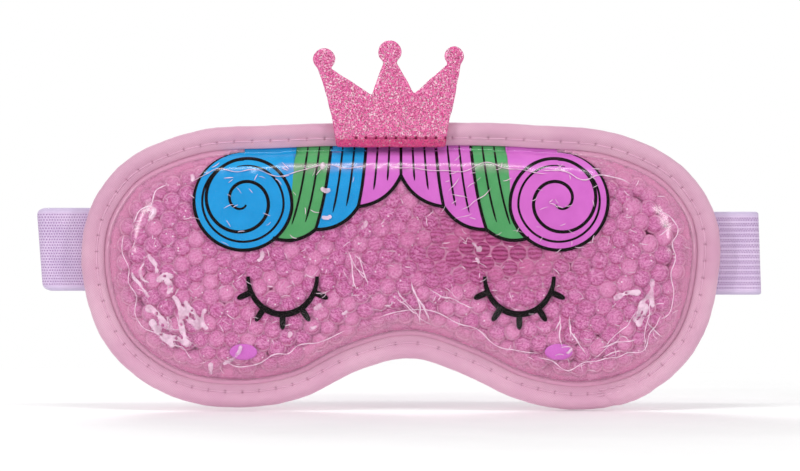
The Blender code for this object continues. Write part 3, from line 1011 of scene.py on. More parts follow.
def web_sheet(film):
    """One thin raised sheet over all the webs."""
    x, z = np.meshgrid(np.arange(RIM.low[0], RIM.high[0], WEB_SPACING),
                       np.arange(RIM.low[1], RIM.high[1], WEB_SPACING))
    spots = np.stack((x.ravel(), z.ravel()), 1)
    field = web_field(spots, *web_strands())
    grid = field.reshape(x.shape)
    slope = np.stack(np.gradient(grid, WEB_SPACING)[::-1], -1).reshape(-1, 2)
    pull = np.where((np.abs(field) < WEB_SPACING * 0.9)[:, None], slope * field[:, None], 0)
    pull = np.clip(pull, -WEB_SPACING, WEB_SPACING)
    spots = spots - pull * (field > -WEB_SPACING * 0.45)[:, None]
    used, quads = np.unique(whole_quads(grid < WEB_SPACING * 0.45), return_inverse=True)
    spots, field = spots[used], field[used]
    base = film.at(spots)
    rise = 0.22 * np.clip(-field / 0.8, 0, 1) ** 0.5 + 0.05
    return add_shell("front_film_webs", in_space(spots, base - rise), in_space(spots, base + 0.05),
                     quads.reshape(-1, 4).tolist(), [crease_highlight_material("lifted_film_painted_highlight", 0.3, 0.8)])


def crease_highlight_material(name, least, most):
    """Creased vinyl: whitish, partly stress whitening and partly painted highlight, shiny and still
    partly see-through.
    """
    nodes = Nodes(name)
    clear = nodes.add("BsdfTransparent").outputs[0]
    # The white stands partly for the creased vinyl's stress whitening and partly for a painted
    # highlight.
    white = nodes.principled(Base_Color=screen(246, 216, 236), Roughness=0.2,
                             Specular_IOR_Level=0.5)
    share = nodes.remap(nodes.noise(nodes.place(), 0.3, 3.0), 0.35, 0.62, most, least)
    return nodes.finish(nodes.blend(nodes.times(share, nodes.outer()), clear, white))


# ------------------------------------------------------------------- print

INK_SECTION = ((-1, 0, 0), (0, 0, 0), (1, 0, 0), (1, 0, 0.03), (0, 0, 0.03), (-1, 0, 0.03))
INK_SPACING = 0.6
INK_LEVEL = 0.35
LOCK_SINK = 0.035
INK_DEPTH = 0.03
LINE_LEVEL = 0.31

# A plain sleeping face under parted, wavy hair, mirrored about the middle.
HAIR_ROOTS = 32.0
HAIR_SPAN = 39.0
HAIR_DROP = 19.0
HAIR_CENTRE_DROP = 10.0
HAIR_LOCKS = 3
FLOW_LINES = 3
CURL_CENTRE = (48.0, 20.0)
CURL_RADIUS = 15.0
CURL_TURNS = 2.6
CURL_HUG = 0.72
EYE_CENTRE = (36.0, -3.0)
EYE_HALF = (10.5, 11.5)
LASHES = 5
LASH_LENGTH = 4.7
CHEEK_CENTRE = (48.0, -26.0)
CHEEK_HALF = (4.2, 2.5)
INKS = {"blue": (32, 164, 226), "green": (88, 174, 108), "violet": (216, 118, 210),
        "black": (2, 1, 2)}
LOCK_INKS = {-1: ("violet", "blue", "green"), 1: ("violet", "violet", "green")}
CURL_INKS = {-1: "blue", 1: "violet"}


def ink_top():
    """Height at which the print runs under the tape."""
    return RIM.high[1] - 6.3


def inked_zone(x, z):
    """Where the print crosses the weld, which is left smooth and clear there."""
    across = np.abs(x) - CURL_CENTRE[0]
    curl = across ** 2 + (z - CURL_CENTRE[1]) ** 2 < (CURL_RADIUS + 0.6) ** 2
    return ((z > ink_top() - 6.0) & (across < 0)) | curl


def mirrored(points, side):
    """Points of the right half, or their mirror image on the left."""
    return np.asarray(points) * (side, 1)


def hair_divider(share):
    """The line between two locks, from its root down to the hem."""
    top = ink_top()
    root = np.array((HAIR_ROOTS * share, top))
    drop = HAIR_CENTRE_DROP + HAIR_DROP * math.sin(share * math.pi / 2)
    hem = np.array((HAIR_SPAN * share, top - drop))
    control = np.array((root[0] + 1.6 * share, 0.6 * hem[1] + 0.4 * top))
    t = np.linspace(0, 1, 26)[:, None]
    return (1 - t) ** 2 * root + 2 * t * (1 - t) * control + t ** 2 * hem


def hem_arc(first, last):
    """A rounded scallop along the hem between two dividers' ends."""
    start, end = hair_divider(first)[-1], hair_divider(last)[-1]
    t = np.linspace(0, 1, 16)[:, None]
    out = np.array((start[1] - end[1], end[0] - start[0]))
    out = -out / np.linalg.norm(out)
    bulge = 0.14 * np.linalg.norm(end - start)
    return start + (end - start) * t + out * bulge * 4 * t * (1 - t)


def curl_line(gap):
    """A curl's winding line: round the outside, then in to the middle."""
    turn = np.linspace(0, 1, 170)
    angle = math.pi / 2 - 2 * math.pi * CURL_TURNS * turn
    inwards = np.clip((turn * CURL_TURNS - CURL_HUG) / (CURL_TURNS - CURL_HUG), 0, 1)
    radius = CURL_RADIUS * (1 - 0.9 * inwards) - gap * (1 - inwards)
    return ellipse(CURL_CENTRE, radius[:, None], angle)


def curl_loop():
    """The curl's filled shape: its round side, joined to the hair above."""
    angle = (0.5 - 2 * np.linspace(0, CURL_HUG, 60)) * math.pi
    top = ink_top()
    return np.vstack((((HAIR_ROOTS, top), (CURL_CENTRE[0], top)),
                      ellipse(CURL_CENTRE, (CURL_RADIUS, CURL_RADIUS), angle)))


def ink_line(points, half=0.42, ends=(0.35, 0.35)):
    """One inked line with tapered ends: points, half widths and heights."""
    points = resample(np.asarray(points, float), 0.45)
    share = np.linspace(0, 1, len(points))
    taper = np.minimum(ends[0] + share * 6, ends[1] + (1 - share) * 6).clip(max=1)
    return points, half * taper, np.zeros(len(points))


def hair_lines(side):
    """Black lines of one half of the hair."""
    lines = []
    edges = np.linspace(0, 1, HAIR_LOCKS + 1)
    for first, last in zip(edges, edges[1:]):
        lines.append(ink_line(mirrored(hem_arc(first, last), side), 0.52, (1, 1)))
        if last < 1:
            lines.append(ink_line(mirrored(hair_divider(last), side), 0.46, (1, 1)))
        for number in range(1, FLOW_LINES):
            share = first + (last - first) * number / FLOW_LINES
            flow = hair_divider(share)
            lines.append(ink_line(mirrored(flow[:int(len(flow) * 0.86)], side), 0.3))
    lines.append(ink_line(mirrored(curl_line(0.0), side), 0.5, (0.1, 0.6)))
    inner = curl_line(0.17 * CURL_RADIUS)
    lines.append(ink_line(mirrored(inner[:int(len(inner) * 0.4)], side), 0.34))
    return lines


def eye_lines(side):
    """A closed eyelid, the lower half of an ellipse, and its lashes."""
    points = resample(ellipse(EYE_CENTRE, EYE_HALF, np.linspace(math.pi, 2 * math.pi, 60)), 0.4)
    share = np.linspace(-1, 1, len(points))
    lines = [(mirrored(points, side), 0.55 + 0.4 * (1 - share ** 2), np.zeros(len(points)))]
    for number in range(LASHES):
        angle = math.pi * (1 + (number + 0.75) / (LASHES + 0.5))
        out = np.array((math.cos(angle), math.sin(angle)))
        root = np.array(EYE_CENTRE) + np.array(EYE_HALF) * out
        path = root + out * np.linspace(-0.2, LASH_LENGTH, 16)[:, None]
        taper = np.sqrt(np.clip(1 - np.linspace(0, 1, 16) ** 6, 0.05, 1))
        lines.append((mirrored(path, side), 0.92 * taper, np.zeros(16)))
    return lines


def ink_patch(film, name, loop, ink, sink=0.0):
    """A filled shape of ink behind the film."""
    level = INK_LEVEL + sink
    item = sheet("print_" + name, loop, INK_SPACING,
                 lambda spots, _: film.under(spots) + level,
                 lambda spots, _: film.under(spots) + level + INK_DEPTH, [ink])
    attach(item, "pad", "clear_film")


def make_print(film):
    """Solid ink behind the film: coloured fills, then black lines."""
    inks = {name: ink_material("ink_" + name, colour) for name, colour in INKS.items()}
    edges = np.linspace(0, 1, HAIR_LOCKS + 1)
    turn = np.linspace(0, 2 * math.pi, 40, endpoint=False)
    cheek = ellipse(CHEEK_CENTRE, CHEEK_HALF, turn)
    lines = []
    for side, word in ((-1, "left"), (1, "right")):
        for number, (first, last) in enumerate(zip(edges, edges[1:])):
            loop = np.vstack((hair_divider(first)[:-1], hem_arc(first, last)[:-1],
                              hair_divider(last)[::-1]))
            loop = loop[(np.roll(loop, -1, 0) != loop).any(1)]
            ink_patch(film, f"lock_{word}_{number + 1}", mirrored(loop, side),
                      inks[LOCK_INKS[side][number]], LOCK_SINK)
        ink_patch(film, "curl_" + word, mirrored(curl_loop(), side), inks[CURL_INKS[side]])
        ink_patch(film, "cheek_" + word, mirrored(cheek, side), inks["violet"])
        lines += hair_lines(side) + eye_lines(side)
    lines.append(ink_line(hair_divider(0.0), 0.42, (1, 1)))
    item = strokes("print_black_lines", lines, INK_SECTION,
                   lambda spots: film.under(spots) + LINE_LEVEL, [inks["black"]])
    attach(item, "pad", "clear_film")


def attach(item, body, slot, *nodes):
    """Fix a piece to a CAD body and hide the CAD nodes it stands for; slot is not used."""
    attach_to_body(item, body)
    if nodes:
        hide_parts(*nodes)


# ------------------------------------------------------------ edge binding

# The folded tape's section as (inset, depth); it starts under the front lip.
TAPE_SECTION = (
    (6.90, -4.62), (6.95, -4.72), (6.75, -4.88), (6.25, -5.08), (5.60, -5.32), (5.10, -5.42),
    (4.88, -5.44), (4.70, -5.45), (4.52, -5.48), (4.32, -5.56), (3.90, -5.76), (3.10, -6.02),
    (2.20, -6.12), (1.30, -5.92), (0.60, -5.48), (0.12, -4.80), (-0.10, -4.00), (-0.15, -3.20),
    (-0.08, -2.40), (0.15, -1.60), (0.70, -0.95), (1.60, -0.55), (2.80, -0.45), (3.90, -0.62),
    (4.50, -0.90), (4.70, -0.98), (4.90, -0.90), (5.50, -0.72), (6.05, -0.78), (6.36, -1.05),
    (6.40, -1.45), (6.20, -1.68), (1.70, -1.68), (1.05, -2.10), (0.85, -3.20), (1.05, -4.20),
    (1.70, -4.73))
TAPE_OUTER_POINTS = 31
TAPE_MIDDLE = -3.2
SEAM_INSET = 4.7
STITCH_PHASES = (0.0, 0.03, 0.06, 0.1, 0.17, 0.3, 0.5, 0.7, 0.83, 0.9, 0.94, 0.97)
LAP_START = (76.5, -36.0)
LAP_LENGTH = 13.0
LAP_ROWS = 40


def tape_relief(along, inset, front):
    """Soft swelling between stitches, and small wrinkles across the tape."""
    count = round(RIM.length / STITCH_LENGTH)
    phase = along / RIM.length * count * 2 * math.pi
    swell = 0.13 * (1 - np.cos(phase)) / 2 * np.exp(-((inset - 3.2) / 1.6) ** 2)
    turn = along / RIM.length * 2 * math.pi
    slow = sum(np.sin(turn * waves + waves * 1.7 + inset * tilt) * size for waves, tilt, size
               in ((23, 0.3, 0.10), (47, -0.5, 0.07), (89, 0.9, 0.045), (151, -1.1, 0.03)))
    return (swell + slow * np.clip((6.2 - inset) / 3, 0, 1)) * (1 if front else 0.6)


def tape_loft(along, shear=0.0, lift=0.0):
    """The folded tape lofted along the outline, in (x, depth, z). lift raises
    it off the tape under it, and shear slants its ends."""
    columns = []
    for number, (inset, depth) in enumerate(TAPE_SECTION):
        places = along + shear * (inset if depth < TAPE_MIDDLE else 0.0)
        if number >= TAPE_OUTER_POINTS:
            columns.append(in_space(RIM.at(places, inset), depth))
            continue
        swing = np.sign(depth - TAPE_MIDDLE) if abs(depth - TAPE_MIDDLE) > 1.0 else 0.0
        rise = tape_relief(places, inset, depth < TAPE_MIDDLE)
        side = inset - (lift * 0.9 if inset < 1.2 else 0.0)
        side = side - rise * 0.6 * (1 - abs(swing) * 0.5) * (inset < 2.5)
        columns.append(in_space(RIM.at(places, side), depth + swing * (rise + lift)))
    return np.stack(columns, 1)


def stitch_grid():
    """Arc lengths of the tape's rows, close together at the stitch holes."""
    count = round(RIM.length / STITCH_LENGTH)
    steps = np.arange(count)[:, None] + np.array(STITCH_PHASES)[None]
    return (steps.ravel() / count) * RIM.length, count


def make_binding():
    """The folded edge tape with stitch holes, its lapped end and its threads."""
    along, count = stitch_grid()
    grid = tape_loft(along)
    phase = np.tile(np.array(STITCH_PHASES), count)
    near = np.minimum(phase, 1 - phase) * STITCH_LENGTH
    holes = np.zeros(grid.shape[:2])
    for number, (inset, depth) in enumerate(TAPE_SECTION[:TAPE_OUTER_POINTS]):
        reach = np.exp(-(near ** 2 + (inset - SEAM_INSET) ** 2) / 0.32 ** 2)
        grid[:, number, 1] += reach * (0.42 if depth < TAPE_MIDDLE else -0.42)
        holes[:, number] = reach
    item = add_solid("edge_binding_tape", *loft(grid, True), [tape_material()])
    # The hole layer marks where the tape is darkened in its stitch pits, partly painted shade.
    add_layer(item, "hole", holes.ravel())
    attach(item, "pad", "binding_tape", "edge_binding")
    steps = nearest_along(LAP_START) + np.linspace(0, LAP_LENGTH, LAP_ROWS)
    lift = 0.34 * np.clip(4.1 - np.abs(np.linspace(-4, 4, LAP_ROWS)), 0, 1)
    item = add_solid("edge_binding_lap", *loft(tape_loft(steps, 0.75, lift)), [tape_material()])
    attach(item, "pad", "binding_tape")
    make_binding_threads(count)


def nearest_along(spot):
    """Arc length of the outline's point nearest to a spot."""
    return RIM.along[nearest(RIM.points, np.array([spot]))[0][0]]


def stitch_path(count, surface, sink):
    """A closed line of stitches that dips into its holes."""
    phases = np.array((0.0, 0.045, 0.12, 0.3, 0.5, 0.7, 0.88, 0.955))
    dips = np.array((1.0, 0.62, 0.1, 0.0, 0.0, 0.0, 0.1, 0.62))
    steps = (np.arange(count)[:, None] + phases[None]).ravel() / count * RIM.length
    return in_space(RIM.at(steps, SEAM_INSET), surface + sink * np.tile(dips, count))


def make_binding_threads(count):
    """Needle thread in front, bobbin thread behind, and the end's back tack."""
    cotton = thread_material("binding_cotton", (238, 192, 216))
    for word, surface, sink in (("needle", -5.58, 0.55), ("bobbin", -0.80, -0.55)):
        item = add_tubes(f"binding_{word}_stitches", [stitch_path(count, surface, sink)],
                         STITCH_RADIUS, True, cotton)
        attach(item, "pad", "pink_thread", f"binding_{word}_thread")
    start = nearest_along(LAP_START) + 8
    paths = []
    for inset, first in ((5.5, 0.0), (3.9, 1.4)):
        for number in range(3):
            steps = start + first + number * 3.1 + np.linspace(0, 2.6, 9)
            depth = -6.12 + 0.45 * np.linspace(-1, 1, 9) ** 4
            paths.append(in_space(RIM.at(steps, inset), depth))
    tack = add_tubes("binding_back_tack", paths, STITCH_RADIUS, False, cotton)
    attach(tack, "pad", "pink_thread")


# ------------------------------------------------------------------- crown

CROWN_EDGE = 0.85
CROWN_STEP = 0.45
FLAKE_COUNT = 4600
FLAKE_ODDS = (0.56, 0.26, 0.12, 0.04, 0.02)
FLAKE_ODDS_LOW = (0.2, 0.5, 0.04, 0.02, 0.24)
CROWN_SEAM_HEIGHT = 39.3
CROWN_STITCH = 3.05
CROWN_SEAM_HALF = 14.5


def crown_loop(node, grow):
    """The crown's outline from its CAD face, evenly stepped and rounded."""
    depth = box_mm(node)[0][1]
    loop = flat_face_loops(node, depth)[0]
    if signed_area(loop) > 0:
        loop = loop[::-1]
    loop = resample(closed_up(loop), CROWN_STEP)[:-1]
    for _ in range(3):
        loop = 0.5 * loop + 0.25 * (np.roll(loop, 1, 0) + np.roll(loop, -1, 0))
    wave = np.arange(len(loop)) * CROWN_STEP
    ripple = 0.05 * np.sin(wave / 1.9) + 0.04 * np.sin(wave / 0.83 + 1)
    return loop - inward_normals(loop) * (grow + ripple)[:, None], depth


def rounded(apart, edge, rise):
    """How far a padded sheet falls back near its edge."""
    t = np.clip(1 - apart / edge, 0, 1)
    return rise * (1 - np.sqrt(np.clip(1 - t ** 2, 0, 1)))


def off_needle_holes(spots):
    """How far spots lie beside and above the seam's nearest needle hole."""
    beside = np.abs((spots[:, 0] / CROWN_STITCH) % 1 - 0.5) * CROWN_STITCH
    return beside, spots[:, 1] - CROWN_SEAM_HEIGHT


def crown_front(spots, apart, face_depth):
    """Depth of the glitter face: padded, dented along its seam."""
    beside, above = off_needle_holes(spots)
    hole = np.exp(-(beside ** 2 + above ** 2) / 0.5 ** 2)
    hole *= np.abs(spots[:, 0]) < CROWN_SEAM_HALF
    groove = 0.16 * np.exp(-(above / 0.8) ** 2)
    return face_depth + rounded(apart, CROWN_EDGE, 0.8) + hole + groove


def make_crown():
    """Glitter face, loose flakes, felt backing and the row of stitches."""
    loop, face_depth = crown_loop("crown_face", 0.05)
    face = sheet("crown_glitter_face", loop, CROWN_STEP,
                 lambda spots, apart: crown_front(spots, apart, face_depth),
                 lambda spots, apart: face_depth + 1.2,
                 [glitter_base_material()], (0.12, 0.34, 0.62, 0.9))
    felt_loop, felt_depth = crown_loop("crown_backing", -0.12)
    felt = sheet("crown_felt_backing", felt_loop, 1.4,
                 lambda spots, apart: felt_depth + rounded(apart, 0.5, 0.3),
                 lambda spots, apart: felt_depth + 1.2 - rounded(apart, 0.5, 0.3),
                 [felt_material()], (0.2, 0.5))
    flakes = make_flakes(loop, face_depth)
    paths = []
    half_count = math.floor(box_mm("crown_thread")[1][0] / CROWN_STITCH - 0.5)
    share = np.linspace(0, 1, 11)
    for number in range(-half_count, half_count + 1):
        x = (number - 0.44 + 0.88 * share) * CROWN_STITCH
        y = face_depth - 0.04 + 0.85 * np.abs(2 * share - 1) ** 5
        paths.append(np.stack((x, y, np.full(11, CROWN_SEAM_HEIGHT)), 1))
    seam = add_tubes("crown_stitches", paths, 0.17, False,
                     thread_material("crown_cotton_look", (206, 74, 136)))
    for item, slot, node in ((face, "crown_glitter", "crown_face"),
                             (felt, "crown_felt", "crown_backing"),
                             (flakes, "crown_glitter", None),
                             (seam, "crown_cotton", "crown_thread")):
        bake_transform(item)
        if node:
            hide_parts(node)


def make_flakes(loop, face_depth):
    """Loose foil flakes set in the face at every angle."""
    random = np.random.default_rng(RANDOM_SEED + 7)
    spots = random.uniform(loop.min(0), loop.max(0), (FLAKE_COUNT * 3, 2))
    spots = spots[inside_loop(loop, spots)][:FLAKE_COUNT]
    apart = distance_to(resample(closed_up(loop), 0.25), spots)
    clear = np.hypot(*off_needle_holes(spots)) > 0.62
    clear |= np.abs(spots[:, 0]) > CROWN_SEAM_HALF
    clear &= apart > 0.12
    spots, apart = spots[clear], apart[clear]
    turns = np.linspace(0, 2 * math.pi, 6, endpoint=False)
    shape = np.array([(math.cos(turn), 0, math.sin(turn)) for turn in turns]
                     + [(0, -0.22, 0), (0, 0.22, 0)])
    faces = []
    for corner in range(6):
        following = (corner + 1) % 6
        faces += [(corner, following, 6), (following, corner, 7)]
    flakes, tones = [], []
    for spot, place in zip(spots, crown_front(spots, apart, face_depth)):
        tilt = random.normal(0, 0.34, 2)
        turn = np.array(((1, 0, 0), (tilt[0], 1, tilt[1]), (0, 0, 1)))
        size = random.uniform(0.10, 0.20)
        flakes.append(((shape @ turn) * size + (spot[0], place - 0.03, spot[1]), faces))
        odds = FLAKE_ODDS_LOW if spot[1] < CROWN_SEAM_HEIGHT - 0.4 else FLAKE_ODDS
        tones += [int(random.choice(5, p=odds))] * len(faces)
    finishes = [foil_material(name, colour) for name, colour in (
        ("foil_pink", (238, 130, 180)), ("foil_rose", (224, 84, 146)),
        ("foil_silver", (255, 240, 246)), ("foil_peach", (250, 204, 190)),
        ("foil_wine", (214, 84, 140)))]
    item = add_mesh("crown_glitter_flakes", *joined(flakes), finishes, False)
    item.data.polygons.foreach_set("material_index", np.array(tones, np.int32))
    return item


def needle_hole_shade(nodes, place):
    """Where the crown's needle holes get painted shade: one inside them, nought a little way off.
    """
    spot = nodes.add("SeparateXYZ", {"Vector": place})
    turn = nodes.times(spot.outputs["X"], 2 * math.pi / CROWN_STITCH)
    across = nodes.maths("MULTIPLY_ADD", nodes.maths("COSINE", turn), 0.5, 0.5)
    across = nodes.times(nodes.maths("SQRT", across), CROWN_STITCH / math.pi)
    up = nodes.minus(spot.outputs["Z"], CROWN_SEAM_HEIGHT)
    apart = nodes.maths("ADD", nodes.times(across, across), nodes.times(up, up))
    sewn = nodes.maths("LESS_THAN", nodes.maths("ABSOLUTE", spot.outputs["X"]), CROWN_SEAM_HALF)
    return nodes.times(nodes.remap(apart, 0.34, 0.12), sewn)


def glitter_base_material():
    """Glue layer full of fine foil dust."""
    nodes = Nodes("glitter_glue")
    place = nodes.place()
    cells = nodes.add("TexVoronoi", {"Vector": place, "Scale": 2.6})
    pick = nodes.add("SeparateColor", {"Color": cells.outputs["Color"]}).outputs[0]
    colour = nodes.ramp(pick, (0.0, 222, 76, 146), (0.35, 236, 110, 170),
                        (0.75, 240, 132, 184), (0.95, 255, 214, 228))
    height = nodes.add("SeparateXYZ", {"Vector": place}).outputs["Z"]
    colour = nodes.mix(nodes.remap(height, 40.0, 38.6, 0.85), colour, screen(204, 40, 112))
    # Painted shade in the needle holes.
    colour = nodes.mix(needle_hole_shade(nodes, place), colour, screen(138, 24, 80))
    tilt = nodes.add("TexNoise", {"Vector": cells.outputs["Color"], "Scale": 9.0})
    return nodes.plain(Base_Color=colour, Metallic=0.15, Roughness=0.4,
                       Normal=nodes.bump(tilt.outputs["Fac"], 0.25, 0.9))


def foil_material(name, colour):
    """One colour of bright foil."""
    nodes = Nodes(name)
    tone = nodes.ramp(nodes.noise(nodes.place(), 1.5, 2.0),
                      (0.3, *(channel * 0.86 for channel in colour)), (0.7, *colour))
    return nodes.plain(Base_Color=tone, Metallic=0.55, Roughness=0.24)


def fleecy_material(name, scale, twist, dark, light, sheen, relief):
    """Matted hair, such as felt or a brushed pile."""
    nodes = Nodes(name)
    hair = nodes.noise(nodes.place(), scale, 6.0, 0.5, twist)
    return nodes.plain(Base_Color=nodes.ramp(hair, (0.3, *dark), (0.7, *light)),
                       Roughness=0.95, Sheen_Weight=sheen, Specular_IOR_Level=0.1,
                       Normal=nodes.bump(hair, relief, 0.8))


def felt_material():
    """Matted pink felt."""
    return fleecy_material("felt", 2.4, 2.5, (206, 92, 148), (236, 142, 186), 0.6, 0.25)


# ------------------------------------------------------------------ straps

STRAP_WIDTH = 25.6
STRAP_THICKNESS = 1.4
STRAP_RIBS = 15
LEFT_HEIGHT, RIGHT_HEIGHT = 5.2, 4.0
LOOP_COUNT = 2600
TURN_X, TURN_DEPTH, TURN_RADIUS = 108.0, 3.0, 2.5


def ribbon_mesh(name, path, width, thickness, height, columns, finish, relief=0.0, fold=None):
    """A woven strip along a path in x and depth, its width upright. fold gives
    each row's sideways shift for a place across the strip."""
    path = np.asarray(path, float)
    side = sideways(path)
    steps = np.linalg.norm(np.diff(path, axis=0), axis=1)
    travelled = np.concatenate(([0], np.cumsum(steps)))
    shares = np.linspace(-1, 1, columns)
    verts, places = [], []
    for share, face in [(share, 1) for share in shares] + [(share, -1) for share in shares[::-1]]:
        across = share * np.broadcast_to(width, len(path)) / 2
        edge = np.sqrt(np.clip(1 - np.clip((abs(share) - 0.955) / 0.045, 0, 1) ** 2, 0.02, 1))
        rib = relief * math.cos(share * STRAP_RIBS * 2 * math.pi) * (abs(share) < 0.86)
        spots = path + side * (thickness / 2 * edge + rib) * face
        shift = fold(path, across) if fold else 0.0
        verts.append(np.stack((spots[:, 0] + shift, spots[:, 1], height + across), 1))
        places.append(across)
    item = add_solid(name, *loft(np.stack(verts, 1)), [finish])
    add_layer(item, "along", np.repeat(travelled, len(places)))
    add_layer(item, "across", np.stack(places, 1).ravel())
    return item


def strap_path(side, end):
    """A whole strap: sewn tab, U-turn and band, in x and depth."""
    tab = np.stack((side * np.linspace(87.0, TURN_X - 0.5, 22), np.full(22, 0.5)), 1)
    turn = ellipse((TURN_X, TURN_DEPTH), (TURN_RADIUS, TURN_RADIUS),
                   np.linspace(-math.pi / 2, math.pi / 2, 22)) * (side, 1)
    band = resample(np.vstack((((side * (TURN_X - 0.5), 5.5),), end)), 1.6)
    return np.vstack((tab, turn, band))


def left_fold(path, across):
    """The left fold leans, and its corners are rounded."""
    near = np.clip((-path[:, 0] - 94) / 16, 0, 1) ** 1.5
    corner = np.clip((np.abs(across) - 10.4) / 2.1, 0, 1)
    rise = 1.7 * (1 - np.sqrt(np.clip(1 - corner ** 2, 0, 1)))
    return near * (-0.55 - across * 0.075 + rise * np.clip((-path[:, 0] - 104) / 6, 0, 1))


def right_fold(path, across):
    """The right fold is pressed square."""
    near = np.clip((path[:, 0] - 96) / 14, 0, 1)
    return near * (-0.2 - across * 0.035)


def elastic_material(name, pitch, row, double, margin):
    """Woven lilac elastic: staggered dots between rows, and plain selvedges."""
    nodes = Nodes(name)
    maths = nodes.maths
    across = nodes.read("across")
    rows = maths("DIVIDE", across, row)
    number = maths("FLOOR", rows)
    odd = maths("MODULO", maths("ABSOLUTE", number), 2.0)
    steps = maths("MULTIPLY_ADD", odd, 0.5, maths("DIVIDE", nodes.read("along"), pitch))
    u, v = [nodes.times(nodes.minus(maths("FRACT", place), 0.5), size)
            for place, size in ((steps, pitch), (rows, row))]
    dot = nodes.remap(nodes.hypotenuse(u, v), 0.33, 0.12)
    if double:
        third = maths("MODULO", maths("ADD", number, 300.0), 3.0)
        dot = nodes.times(dot, maths("LESS_THAN", third, 1.5))
    off = maths("ABSOLUTE", across)
    dot = nodes.times(dot, maths("LESS_THAN", off, margin))
    rib = maths("SINE", nodes.times(across, 2 * math.pi / row))
    place = nodes.place()
    colour = nodes.ramp(nodes.noise(place, 0.12, 3.0), (0.3, 208, 186, 220),
                        (0.7, 224, 202, 232))
    colour = nodes.mix(nodes.remap(off, margin, 12.5, 0.8), colour, screen(196, 184, 212))
    colour = nodes.mix(nodes.times(dot, 0.85), colour, screen(146, 106, 160))
    height = nodes.minus(nodes.times(rib, 0.3), dot)
    bump = nodes.bump(height, 0.12, 0.8, nodes.bump(nodes.noise(place, 3.5, 3.0), 0.1, 0.5))
    return nodes.plain(Base_Color=colour, Roughness=0.78, Sheen_Weight=0.2,
                       Specular_IOR_Level=0.2, Normal=bump)


def make_straps():
    """Both elastic straps, the bar tacks on the pad and the closure."""
    cotton = thread_material("strap_cotton", (206, 176, 216))
    for side, word, height, end, fold, weave in (
            (-1, "left", LEFT_HEIGHT, ((4.0, 9.1), (20.0, 9.1)), left_fold,
             (0.74, 0.86, False, 10.9)),
            (1, "right", RIGHT_HEIGHT, ((5.0, 5.5),), right_fold, (0.78, 0.55, True, 11.0))):
        name = "strap_" + word
        strap = ribbon_mesh(name + "_elastic", strap_path(side, end), STRAP_WIDTH,
                            STRAP_THICKNESS, height, 61,
                            elastic_material("elastic_" + word, *weave), 0.05, fold)
        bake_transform(strap)
        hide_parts(name + "_tab", name + "_band")
        points = [(side * 91.5 + (0.8 if index % 2 else -0.8), 1.42,
                   height + 19.0 * (index / 52 - 0.5)) for index in range(53)]
        tack = add_tubes(name + "_tack_stitches", [points], 0.2, False, cotton)
        attach(tack, "pad", "lilac_thread", name + "_tack")
    make_closure(cotton)


def make_closure(cotton):
    """Loop patch on the right band, and the hook tape on the left band's end."""
    random = np.random.default_rng(RANDOM_SEED + 9)
    x = np.linspace(8.0, 72.0, 100)
    path = np.stack((x, 7.1 + 0.05 * np.sin(x / 3.1)), 1)
    widths = 22.0 - 3.0 * np.clip((np.abs(x - 40) - 30.6) / 1.4, 0, 1) ** 2
    patch = ribbon_mesh("loop_patch_tape", path, widths, 0.7, RIGHT_HEIGHT, 41,
                        loop_material())
    attach(patch, "strap_right", "loop_tape", "loop_patch")
    paths = []
    share = np.linspace(0, 1, 5)[:, None]
    for _ in range(LOOP_COUNT):
        base = np.array((random.uniform(9, 71), 7.42, RIGHT_HEIGHT + random.uniform(-10, 10)))
        reach = random.normal(0, 0.55, 2)
        rise = random.uniform(0.18, 0.42)
        curve = base + share * np.array((reach[0], 0, reach[1]))
        curve[:, 1] += rise * np.sin(share[:, 0] * math.pi)
        paths.append(curve)
    fuzz = add_tubes("loop_patch_fuzz", paths, 0.045, False, loop_material(), 3)
    attach(fuzz, "strap_right", "loop_tape")
    seam = rectangle_stitches(10.0, 70.0, 9.0, RIGHT_HEIGHT, 7.78)
    attach(add_tubes("loop_patch_stitches", seam, 0.2, False, cotton), "strap_right",
           "lilac_thread", "loop_patch_thread")
    lap = ((10.0, 10.3), (19.6, 10.3), (20.6, 10.1), (22.4, 9.2), (23.6, 8.95), (56.6, 8.95))
    path = resample(np.array(lap), 0.6)
    ends = np.minimum(path[:, 0] - lap[0][0], lap[-1][0] - path[:, 0])
    widths = 20.0 - 3.0 * np.clip(1 - ends / 1.6, 0, 1) ** 2
    tape = ribbon_mesh("hook_tape_strip", path, widths, 0.7, LEFT_HEIGHT, 41, hook_material())
    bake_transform(tape)
    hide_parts("hook_tab")
    paths = []
    for x in np.arange(24.6, 56.0, 1.15):
        for z in np.arange(-8.8, 8.9, 1.1) + LEFT_HEIGHT:
            lean = random.uniform(-0.1, 0.1)
            paths.append(((x, 8.62, z), (x + lean, 8.42, z + 0.05),
                          (x + 0.12, 8.22, z + 0.15), (x + 0.3, 8.25, z + 0.3)))
    hooks = add_tubes("hook_tape_hooks", paths, 0.06, False, hook_material(), 4)
    attach(hooks, "closure", "hook_tape")
    seam = rectangle_stitches(11.5, 18.5, 8.0, LEFT_HEIGHT, 10.75)
    attach(add_tubes("hook_tape_stitches", seam, 0.2, False, cotton), "strap_left",
           "lilac_thread", "hook_tab_thread")


def rectangle_stitches(left, right, half_height, height, surface):
    """Separate stitches round a rectangle, each one dipping at its ends."""
    corners = np.array(((left, -half_height), (right, -half_height), (right, half_height),
                        (left, half_height), (left, -half_height))) + (0, height)
    paths = []
    for start, end in zip(corners, corners[1:]):
        count = max(1, round(np.linalg.norm(end - start) / 2.6))
        for number in range(count):
            share = (number + np.linspace(0.06, 0.94, 7)) / count
            dip = -0.3 * np.abs(np.linspace(-1, 1, 7)) ** 4
            paths.append(in_space(start + (end - start) * share[:, None], surface + dip))
    return paths


def loop_material():
    """Brushed loop pile."""
    return fleecy_material("loop_pile", 1.8, 2.0, (196, 170, 208), (228, 208, 234), 0.5, 0.3)


